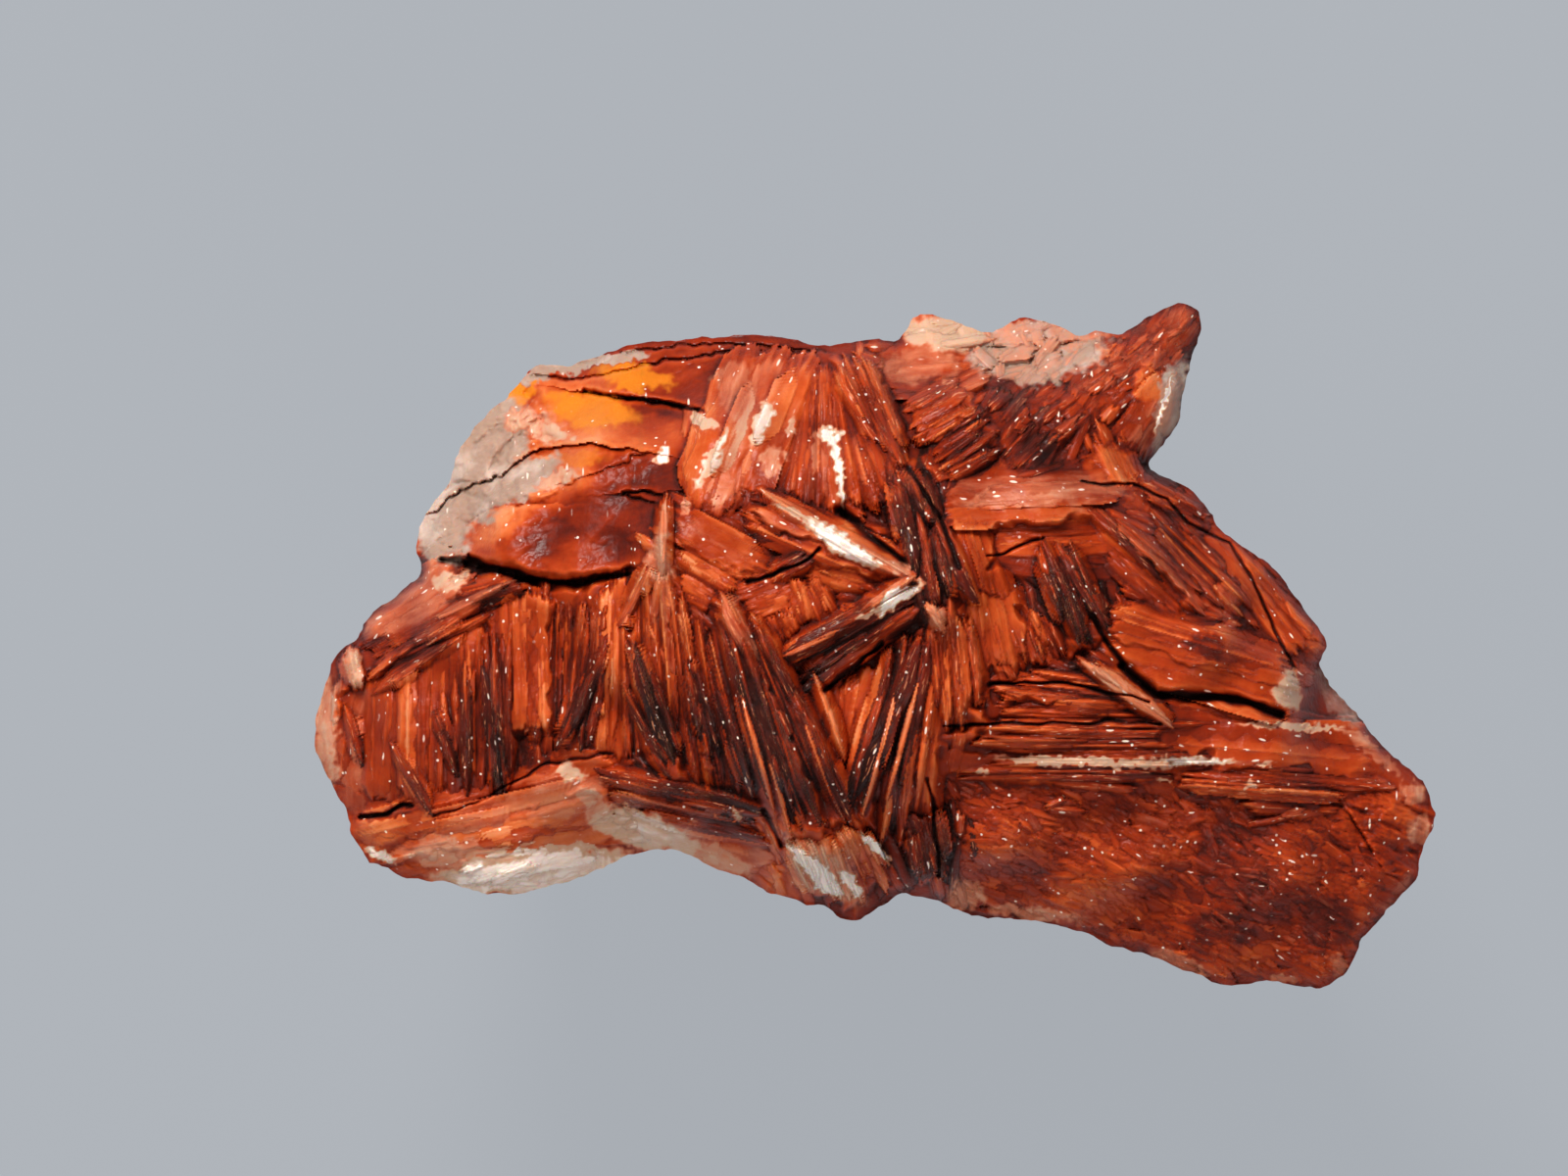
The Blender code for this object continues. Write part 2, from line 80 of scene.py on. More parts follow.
# The outline of the face, anticlockwise from the left end
OUTLINE = [
    (-22.15, -3.8), (-22.0, -4.4), (-21.6, -5.1), (-21.3, -5.7), (-20.9, -6.4), (-20.7, -6.7),
    (-20.75, -7.45), (-20.2, -8.0), (-20.05, -8.5), (-19.9, -8.75), (-19.3, -8.7), (-19.0, -8.95),
    (-18.6, -9.2), (-17.9, -9.3), (-16.8, -9.25), (-16.4, -9.5), (-15.4, -9.8), (-14.0, -9.75),
    (-12.9, -9.5), (-12.3, -9.4), (-11.5, -9.1), (-10.5, -8.6), (-9.3, -8.15), (-8.6, -8.0), (-8.0, -7.97),
    (-7.0, -8.4), (-6.0, -8.9), (-5.0, -9.2), (-4.4, -9.7), (-3.5, -9.85), (-3.1, -10.0), (-2.1, -10.2),
    (-1.3, -10.7), (-0.75, -10.9), (0.2, -10.2), (0.8, -9.85), (1.1, -9.7), (1.7, -9.85), (2.6, -10.05),
    (3.6, -10.6), (4.5, -10.75), (6.0, -10.78), (7.4, -11.1), (8.2, -11.3), (9.3, -11.85), (10.1, -12.0),
    (11.0, -12.3), (12.2, -12.85), (12.6, -12.85), (13.0, -13.1), (13.7, -13.5), (14.4, -13.35),
    (15.0, -13.35), (15.6, -13.2), (16.2, -13.35), (16.9, -13.5), (17.8, -13.55), (18.6, -12.9),
    (18.8, -12.4), (19.1, -11.9), (19.2, -11.5), (20.1, -10.6), (20.6, -10.0), (21.5, -9.1), (21.4, -8.2),
    (21.6, -7.9), (22.1, -7.2), (22.0, -6.8), (22.3, -6.6), (21.9, -6.4), (21.8, -5.8), (21.6, -5.4),
    (21.2, -5.0), (20.0, -4.0), (19.5, -3.5), (19.3, -3.1), (18.6, -2.3), (17.9, -1.6), (17.35, -0.75),
    (17.75, -0.35), (17.8, 0.0), (17.6, 0.5), (16.8, 1.5), (15.9, 2.7), (15.4, 3.3), (14.6, 3.7),
    (14.1, 4.1), (13.4, 4.6), (13.3, 5.0), (12.9, 5.6), (12.1, 6.3), (11.0, 6.75), (10.5, 7.05),
    (10.9, 7.4), (11.4, 8.0), (11.8, 8.6), (11.95, 9.1), (12.0, 9.6), (12.1, 10.2), (12.5, 11.3),
    (12.85, 12.3), (12.85, 13.0), (12.2, 13.55), (11.9, 13.45), (10.9, 13.0), (10.2, 12.5), (9.6, 12.2),
    (8.6, 12.35), (8.0, 12.15), (7.2, 12.5), (6.9, 12.6), (5.7, 12.95), (5.2, 12.6), (4.4, 12.2),
    (3.9, 12.4), (3.2, 12.65), (2.2, 13.05), (1.9, 13.1), (1.4, 12.9), (1.2, 12.3), (0.8, 11.9),
    (0.0, 12.0), (-0.6, 11.9), (-1.4, 11.8), (-2.1, 11.75), (-2.9, 11.9), (-3.6, 12.1), (-4.8, 12.2),
    (-6.0, 12.1), (-8.0, 12.0), (-8.9, 11.95), (-9.6, 11.8), (-10.3, 11.6), (-10.9, 11.35), (-11.4, 11.1),
    (-12.6, 10.95), (-13.4, 11.05), (-13.9, 10.6), (-14.1, 10.1), (-15.1, 9.2), (-15.6, 8.8), (-16.2, 7.9),
    (-16.5, 7.4), (-16.65, 6.7), (-16.8, 6.2), (-17.5, 5.5), (-17.8, 5.1), (-17.9, 4.6), (-18.1, 3.7),
    (-17.9, 3.4), (-17.85, 2.6), (-18.4, 2.3), (-19.0, 1.8), (-19.6, 1.4), (-20.1, 1.0), (-20.3, 0.25),
    (-20.9, -0.05), (-21.5, -0.9), (-21.65, -1.5), (-21.9, -2.4), (-22.1, -3.1),
]

# Heights of the face above the cut at places all over it
RELIEF = [
    (-19.5, 1.0, 30.0), (-21.0, -3.5, 29.3), (-16.0, 1.2, 32.0), (-17.5, -3.0, 30.9), (-15.0, -5.5, 30.2),
    (-19.5, -7.6, 29.4), (-15.5, -7.8, 30.6), (-11.8, -5.4, 31.0), (-11.0, -7.8, 29.4), (-13.0, -1.0, 31.8),
    (-17.0, 5.0, 30.0), (-15.0, 8.0, 30.2), (-12.5, 10.5, 29.8), (-13.5, 4.5, 33.2), (-10.0, 6.5, 34.2),
    (-9.0, 10.5, 31.2), (-10.5, 3.5, 34.0), (-5.0, 11.3, 31.4), (-5.8, 7.0, 35.0), (-5.5, 5.0, 35.8),
    (-8.4, 3.8, 36.0), (-9.4, -0.5, 34.6), (-11.4, -3.0, 32.4), (-8.0, -4.8, 33.4), (-8.0, -6.4, 31.9),
    (-6.5, -8.2, 29.8), (-5.4, 1.2, 36.2), (-3.6, -3.6, 35.6), (-2.0, -7.2, 33.6), (-0.6, -9.8, 31.0),
    (-1.8, 9.5, 32.8), (-1.6, 6.0, 35.2), (-1.0, 3.6, 36.6), (-3.2, 1.2, 36.0), (-1.2, -1.4, 35.0),
    (1.9, 2.2, 36.8), (0.6, -4.0, 35.2), (1.4, -8.4, 32.2), (1.6, 5.6, 36.0), (3.0, -1.6, 35.4),
    (2.2, 11.6, 30.6), (3.2, 8.4, 33.6), (6.4, 11.4, 30.4), (7.0, 8.2, 32.4), (10.2, 9.4, 31.6),
    (12.3, 12.9, 30.0), (6.0, 5.6, 35.0), (6.6, 2.2, 35.0), (9.8, 3.6, 34.0), (12.6, 4.4, 31.6),
    (12.4, 0.4, 33.2), (15.8, 0.8, 30.4), (15.0, -1.6, 31.8), (18.2, -2.6, 29.2), (7.4, -2.0, 34.4),
    (9.0, -4.0, 33.6), (14.5, -3.8, 32.2), (19.8, -5.2, 29.6), (4.4, -7.2, 33.0), (9.6, -8.0, 31.8),
    (14.8, -8.6, 30.8), (19.8, -8.4, 29.2), (16.6, -12.2, 29.0), (10.6, -11.0, 29.6), (4.6, -10.0, 29.8),
]

# Sections of the sides: level, size against the outline, shift along X and Y, rounds of smoothing
FLANK_LEVELS = [
    (0.0, 0.67, 0.5, 0.2, 14), (3.4, 0.745, 0.8, 0.3, 12), (6.6, 0.77, 0.4, 0.1, 10),
    (9.8, 0.83, 0.5, -0.1, 9), (13.0, 0.845, 0.1, 0.2, 7), (16.4, 0.90, -0.1, 0.0, 5),
    (19.8, 0.935, 0.2, 0.1, 3), (23.2, 0.975, 0.0, -0.1, 1), (RIM_LEVEL, 1.0, 0.0, 0.0, 0),
]

# How the blades of a sheaf are shaped: how many run one behind another, their length against the
# sheaf's, how uneven their ends are, their width against their spacing, how pointed they are, how high
# they are ridged, stepped and tilted, how many fine laminae lie on each and how high, how much darker
# they get towards the tip, how strongly they are lined, and how far their edges run out softly
STYLE_KEYS = ("repeat", "share", "stagger", "wide", "point", "ridge", "step", "lean", "fine", "fine_lift",
              "fade", "lines", "soft")
LENS, COMB, PLATE, BLOCK, SCALE, SMOOTH = [dict(zip(STYLE_KEYS, row)) for row in (
    (1, 0.80, 0.26, 1.45, 0.85, 0.17, 0.08, 0.10, 6, 0.05, 0.14, 0.75, 0.0),
    (1, 0.86, 0.22, 1.35, 0.60, 0.12, 0.07, 0.10, 5, 0.05, 0.08, 0.70, 0.0),
    (1, 0.97, 0.10, 1.30, 0.12, 0.02, 0.03, 0.05, 3, 0.015, 0.05, 0.30, 0.14),
    (2, 0.66, 0.25, 1.45, 0.12, 0.04, 0.06, 0.08, 3, 0.03, 0.0, 0.35, 0.03),
    (3, 0.45, 0.30, 1.50, 0.50, 0.04, 0.05, 0.10, 3, 0.03, 0.0, 0.40, 0.0),
    (2, 0.70, 0.10, 1.70, 0.40, 0.02, 0.02, 0.06, 1, 0.01, 0.0, 0.15, 0.35),
)]
SLAB = dict(SMOOTH, repeat=1, share=0.97, point=0.20, wide=1.35, soft=0.5)

# Sheaves: line of the roots, line of the tips, lift at roots and tips, blades, shape, tone, paleness.
# Each line runs from the same side of the sheaf to the other. Tone runs from 0, nearly black, over
# red, to 1, bright orange, and paleness from 0 to 1, white.
SHEAVES = [
    # left lobe: a comb of steep blades under a crest
    ((-21.2, -1.6, -19.6, -1.0), (-21.6, -5.4, -20.0, -6.2), 0.2, 0.1, 2, SLAB, 0.48, 0.7),
    ((-19.6, -1.0, -18.2, -0.2), (-20.0, -6.2, -18.3, -6.4), 0.3, 0.3, 2, PLATE, 0.48, 0.3),
    ((-18.4, -0.3, -16.9, 0.7), (-18.5, -6.3, -17.0, -6.3), 0.5, 0.4, 3, PLATE, 0.51, 0.22),
    ((-16.9, 0.7, -15.5, 1.6), (-17.0, -6.1, -15.6, -5.9), 0.6, 0.6, 3, PLATE, 0.5, 0.16),
    ((-15.5, 1.5, -14.4, 2.3), (-15.4, -6.1, -14.2, -5.2), 0.8, 0.9, 3, COMB, 0.34, 0.05),
    ((-14.5, 2.3, -12.9, 2.2), (-14.1, -3.5, -12.9, -3.1), 0.6, 0.9, 3, PLATE, 0.56, 0.18),
    ((-14.3, -3.2, -12.8, -3.0), (-14.0, -5.4, -12.6, -4.9), 0.1, 0.3, 4, COMB, 0.35, 0.05),
    ((-20.6, -1.7, -20.8, -0.4), (-14.4, 1.5, -15.2, 2.8), 0.6, 0.8, 5, COMB, 0.28, 0.12),
    ((-20.3, 0.0, -19.8, 1.2), (-15.9, 2.1, -16.7, 3.2), 0.9, 1.2, 2, SLAB, 0.5, 0.6),
    ((-17.2, 1.2, -17.4, 1.8), (-13.9, 2.2, -14.2, 2.7), 1.1, 0.9, 2, BLOCK, 0.25, 0.18),
    # the smooth ledge below the comb, and the cream edge under it
    ((-20.4, -7.0, -20.2, -7.9), (-14.4, -5.3, -13.8, -6.6), 0.3, 0.6, 2, SLAB, 0.62, 0.3),
    ((-14.9, -5.4, -14.2, -6.9), (-10.2, -4.1, -10.4, -5.6), 0.6, 0.8, 2, SLAB, 0.68, 0.55),
    ((-20.2, -7.8, -19.6, -8.5), (-10.6, -5.5, -10.6, -6.9), 0.3, 0.6, 3, SMOOTH, 0.66, 0.55),
    ((-18.8, -8.4, -17.8, -9.1), (-10.0, -6.7, -9.2, -7.7), 0.2, 0.3, 3, SMOOTH, 0.8, 1.3),
    # left fans, from the pale apex
    ((-12.8, 2.1, -11.4, 2.3), (-13.0, -3.6, -11.9, -4.2), 0.3, 0.4, 4, COMB, 0.5, 0.1),
    ((-11.4, 2.3, -10.4, 2.6), (-12.2, -4.2, -10.9, -4.2), 0.4, 0.6, 4, LENS, 0.3, 0.08),
    ((-10.5, 2.5, -9.8, 2.9), (-10.9, -4.1, -9.9, -4.8), 0.5, 0.5, 3, PLATE, 0.72, 0.2),
    ((-9.9, 2.9, -9.0, 3.4), (-9.9, -4.8, -8.6, -5.2), 0.6, 0.7, 4, LENS, 0.38, 0.12),
    ((-9.1, 3.5, -8.4, 4.0), (-8.8, -5.1, -7.4, -5.4), 0.9, 0.9, 5, COMB, 0.5, 0.22),
    ((-8.5, 4.0, -7.7, 3.3), (-7.5, -5.4, -6.2, -5.7), 0.9, 0.8, 5, COMB, 0.46, 0.2),
    ((-7.7, 3.3, -6.6, 1.6), (-6.3, -5.6, -4.6, -6.0), 0.6, 0.8, 5, LENS, 0.34, 0.12),
    ((-9.9, 0.6, -9.3, 0.6), (-8.0, -5.3, -7.0, -5.5), 1.3, 1.4, 2, LENS, 0.08, 0.03),
    ((-7.6, 0.2, -7.2, 0.2), (-6.8, -4.9, -6.1, -5.0), 1.3, 1.3, 2, LENS, 0.1, 0.05),
    # the long dark sheaf in the middle and its tips
    ((-6.3, 1.8, -5.6, 1.4), (-3.9, -7.7, -2.8, -7.4), 1.4, 1.7, 3, LENS, 0.18, 0.12),
    ((-5.7, 1.5, -5.1, 1.1), (-2.9, -7.5, -1.8, -7.2), 1.6, 2.0, 3, LENS, 0.08, 0.06),
    ((-5.2, 1.2, -4.5, 0.8), (-1.9, -7.3, -0.8, -6.8), 1.4, 1.7, 3, LENS, 0.16, 0.08),
    ((-3.9, -7.2, -2.3, -7.0), (-2.5, -9.9, -1.2, -10.5), 1.1, 0.5, 5, COMB, 0.68, 0.85),
    ((-2.4, -7.0, -0.9, -6.6), (-1.3, -10.6, 0.8, -9.5), 1.2, 0.5, 6, COMB, 0.62, 0.6),
    # long lens blades lying across, and the knobbly edge below them
    ((-11.3, -4.9, -11.2, -5.3), (-4.6, -6.2, -4.4, -6.9), 1.1, 1.4, 2, LENS, 0.16, 0.08),
    ((-10.9, -5.3, -10.4, -5.65), (-4.5, -6.8, -4.3, -7.4), 0.9, 1.1, 2, LENS, 0.28, 0.12),
    ((-10.4, -6.2, -9.4, -7.4), (-4.0, -7.7, -3.6, -9.3), 0.2, 0.4, 3, SMOOTH, 0.72, 0.9),
    # plates and blocks at the centre
    ((-7.7, 5.3, -7.8, 4.4), (-4.1, 3.4, -4.8, 2.8), 0.6, 0.8, 2, SLAB, 0.56, 0.35),
    ((-7.8, 4.4, -7.8, 3.4), (-4.8, 2.8, -5.6, 2.0), 0.5, 0.7, 3, PLATE, 0.6, 0.15),
    ((-7.8, 3.1, -7.3, 1.8), (-6.1, 2.1, -6.4, 1.4), 0.5, 0.5, 2, PLATE, 0.55, 0.15),
    ((-5.6, 2.1, -5.0, 0.9), (-3.2, 3.0, -3.2, 1.6), 0.6, 0.7, 3, PLATE, 0.58, 0.08),
    ((-3.4, 2.9, -2.4, 2.7), (-3.0, 0.6, -1.3, 0.8), 0.8, 0.5, 4, BLOCK, 0.55, 0.1),
    ((-4.7, 1.0, -3.4, 1.7), (-4.0, -0.4, -2.9, 0.4), 0.9, 0.5, 5, BLOCK, 0.5, 0.1),
    ((-4.9, 2.5, -4.6, 2.1), (-2.0, 4.1, -2.2, 3.6), 0.9, 0.9, 1, LENS, 0.2, 0.05),
    ((-4.6, 5.8, -5.2, 5.3), (2.1, 2.8, 1.8, 2.3), 1.3, 1.4, 2, PLATE, 0.5, 0.55),
    ((-5.2, 5.3, -5.2, 4.8), (1.8, 2.4, 1.4, 1.9), 0.9, 1.0, 2, PLATE, 0.56, 0.2),
    ((-2.8, 3.6, -2.9, 2.7), (1.0, 2.7, 0.2, 1.8), 0.6, 0.5, 3, PLATE, 0.56, 0.1),
    ((-1.9, 2.3, -1.3, 1.1), (-0.4, 1.7, -0.5, 1.3), 0.5, 0.5, 2, PLATE, 0.6, 0.1),
    # blades that meet in a V, and the fan under it
    ((1.7, 3.0, 1.9, 2.3), (-3.9, -0.3, -3.4, -1.0), 1.1, 1.0, 3, LENS, 0.13, 0.2),
    ((1.9, 2.3, 2.0, 1.5), (-3.4, -0.9, -2.6, -1.7), 0.9, 0.8, 3, LENS, 0.2, 0.12),
    ((0.6, -0.2, -1.8, -1.6), (-0.9, -4.7, -1.7, -4.2), 0.3, 0.2, 3, PLATE, 0.62, 0.05),
    ((0.5, 0.3, 1.2, 0.6), (-1.4, -6.7, -0.1, -7.1), 1.0, 1.2, 4, LENS, 0.12, 0.06),
    ((1.2, 0.6, 2.0, 1.0), (-0.1, -7.1, 1.4, -7.5), 0.9, 1.0, 4, COMB, 0.36, 0.1),
    ((1.9, -0.4, 2.5, -0.6), (1.0, -8.0, 2.0, -8.1), 0.6, 0.7, 3, PLATE, 0.66, 0.15),
    ((1.2, -6.2, 2.4, -6.0), (1.7, -9.3, 3.0, -9.2), 1.0, 0.9, 4, LENS, 0.12, 0.1),
    # the winding column right of the middle
    ((0.3, 7.6, 1.5, 7.2), (1.0, 4.4, 2.5, 4.6), 1.0, 1.2, 4, LENS, 0.1, 0.05),
    ((1.0, 4.9, 2.5, 5.0), (1.9, 0.9, 3.4, 1.2), 1.2, 1.1, 5, LENS, 0.16, 0.15),
    ((1.9, 1.6, 3.5, 1.8), (2.2, -3.1, 4.2, -2.9), 1.0, 1.1, 6, COMB, 0.5, 0.18),
    ((3.0, 5.0, 4.0, 4.9), (3.8, 1.7, 5.0, 1.6), 0.7, 0.8, 3, PLATE, 0.62, 0.12),
    ((3.8, 2.4, 4.9, 2.1), (4.2, -0.9, 5.9, -0.5), 0.6, 0.6, 3, PLATE, 0.64, 0.1),
    # upper middle: the smooth crest band and the orange fan beside it
    ((-5.0, 11.4, -3.9, 11.1), (-7.2, 5.6, -5.9, 5.3), 0.6, 0.9, 2, SLAB, 0.6, 0.8),
    ((-3.9, 11.2, -2.6, 10.8), (-5.9, 5.4, -4.4, 5.9), 0.7, 0.9, 3, SLAB, 0.62, 0.55),
    ((-2.6, 10.9, -1.9, 10.8), (-3.6, 5.7, -1.4, 5.1), 0.5, 1.0, 6, PLATE, 0.58, 0.45),
    ((-1.9, 10.8, -1.2, 10.8), (-1.4, 5.1, 1.0, 5.6), 0.5, 1.0, 7, PLATE, 0.52, 0.3),
    ((-2.0, 11.3, -0.2, 11.4), (0.4, 6.9, 1.6, 6.7), 0.9, 1.3, 5, COMB, 0.34, 0.12),
    ((-5.3, 6.2, -5.2, 5.1), (-3.6, 5.9, -3.6, 5.0), 0.8, 0.8, 2, BLOCK, 0.3, 0.15),
    # right: overlapping slabs that run down to the right
    ((2.4, 6.2, 2.6, 5.0), (10.0, 6.6, 8.6, 5.4), 0.5, 0.4, 2, SLAB, 0.46, 0.42),
    ((4.2, 4.8, 4.3, 3.0), (9.2, 5.4, 9.4, 2.6), 0.4, 0.3, 4, PLATE, 0.46, 0.05),
    ((6.0, 4.2, 6.7, 4.2), (7.6, -0.4, 8.5, -0.2), 1.0, 1.1, 3, LENS, 0.12, 0.06),
    ((6.8, 4.4, 7.4, 4.4), (8.4, -0.2, 9.4, 0.2), 0.9, 1.1, 3, LENS, 0.14, 0.06),
    ((5.1, 1.8, 6.3, 1.4), (5.8, -0.7, 7.4, -0.8), 0.3, 0.4, 4, COMB, 0.5, 0.1),
    ((8.4, 5.7, 8.9, 4.9), (13.4, 1.6, 12.9, 0.9), 0.8, 0.8, 4, COMB, 0.38, 0.35),
    ((8.7, 4.8, 9.0, 3.4), (12.4, 1.9, 11.5, 0.9), 0.5, 0.6, 4, PLATE, 0.44, 0.1),
    ((10.4, 6.2, 10.2, 5.0), (15.9, 1.2, 13.9, 0.9), 0.4, 0.4, 5, COMB, 0.36, 0.15),
    ((8.9, 1.7, 9.0, 0.2), (15.8, -0.6, 16.3, -1.7), 1.0, 1.0, 3, PLATE, 0.46, 0.04),
    ((9.0, 0.5, 9.6, -0.8), (16.2, -1.6, 15.7, -2.6), 0.8, 0.9, 2, SLAB, 0.48, 0.04),
    ((13.2, 4.9, 12.4, 4.3), (17.6, 0.0, 16.3, -0.6), 0.3, 0.4, 3, PLATE, 0.56, 0.2),
    ((9.6, 7.0, 9.8, 6.2), (13.2, 5.2, 12.7, 4.5), 0.4, 0.3, 3, SCALE, 0.32, 0.05),
    # level bundles across the right
    ((4.2, -0.7, 4.0, -1.9), (10.9, -1.6, 11.0, -2.4), 0.4, 0.5, 4, LENS, 0.34, 0.1),
    ((4.0, -1.8, 3.8, -3.0), (10.9, -2.3, 11.4, -3.1), 0.4, 0.4, 4, LENS, 0.42, 0.08),
    ((2.1, -3.0, 2.2, -3.9), (13.2, -3.0, 13.0, -3.9), 0.8, 0.8, 4, LENS, 0.38, 0.12),
    ((10.6, -2.9, 10.8, -4.0), (20.4, -3.9, 19.6, -4.9), 0.8, 0.6, 2, SLAB, 0.5, 0.25),
    ((1.9, -3.9, 2.3, -5.2), (13.4, -4.0, 13.2, -5.1), 0.5, 0.6, 5, LENS, 0.4, 0.15),
    ((11.0, -4.2, 11.4, -5.5), (20.8, -5.0, 19.4, -6.2), 0.4, 0.4, 4, COMB, 0.4, 0.15),
    # upper right: a dark bundle, rough ground and the horn
    ((0.6, 9.2, 1.3, 7.2), (3.2, 10.6, 4.4, 9.2), 0.6, 0.9, 4, COMB, 0.4, 0.08),
    ((1.3, 7.4, 2.4, 6.0), (4.2, 9.6, 5.2, 7.6), 0.7, 0.9, 5, LENS, 0.24, 0.08),
    ((4.4, 7.4, 5.4, 6.5), (6.0, 9.6, 7.6, 8.2), 0.3, 0.5, 4, COMB, 0.26, 0.1),
    ((9.5, 6.2, 10.5, 6.3), (8.6, 8.0, 9.6, 8.0), 0.5, 0.6, 3, PLATE, 0.52, 0.15),
    ((9.4, 7.6, 10.4, 7.3), (11.6, 10.9, 12.0, 9.8), 0.5, 0.6, 3, SLAB, 0.42, 0.45),
    ((0.1, 10.0, 0.0, 11.6), (3.4, 10.4, 3.6, 11.6), 0.4, 0.4, 2, SLAB, 0.46, 0.35),
]


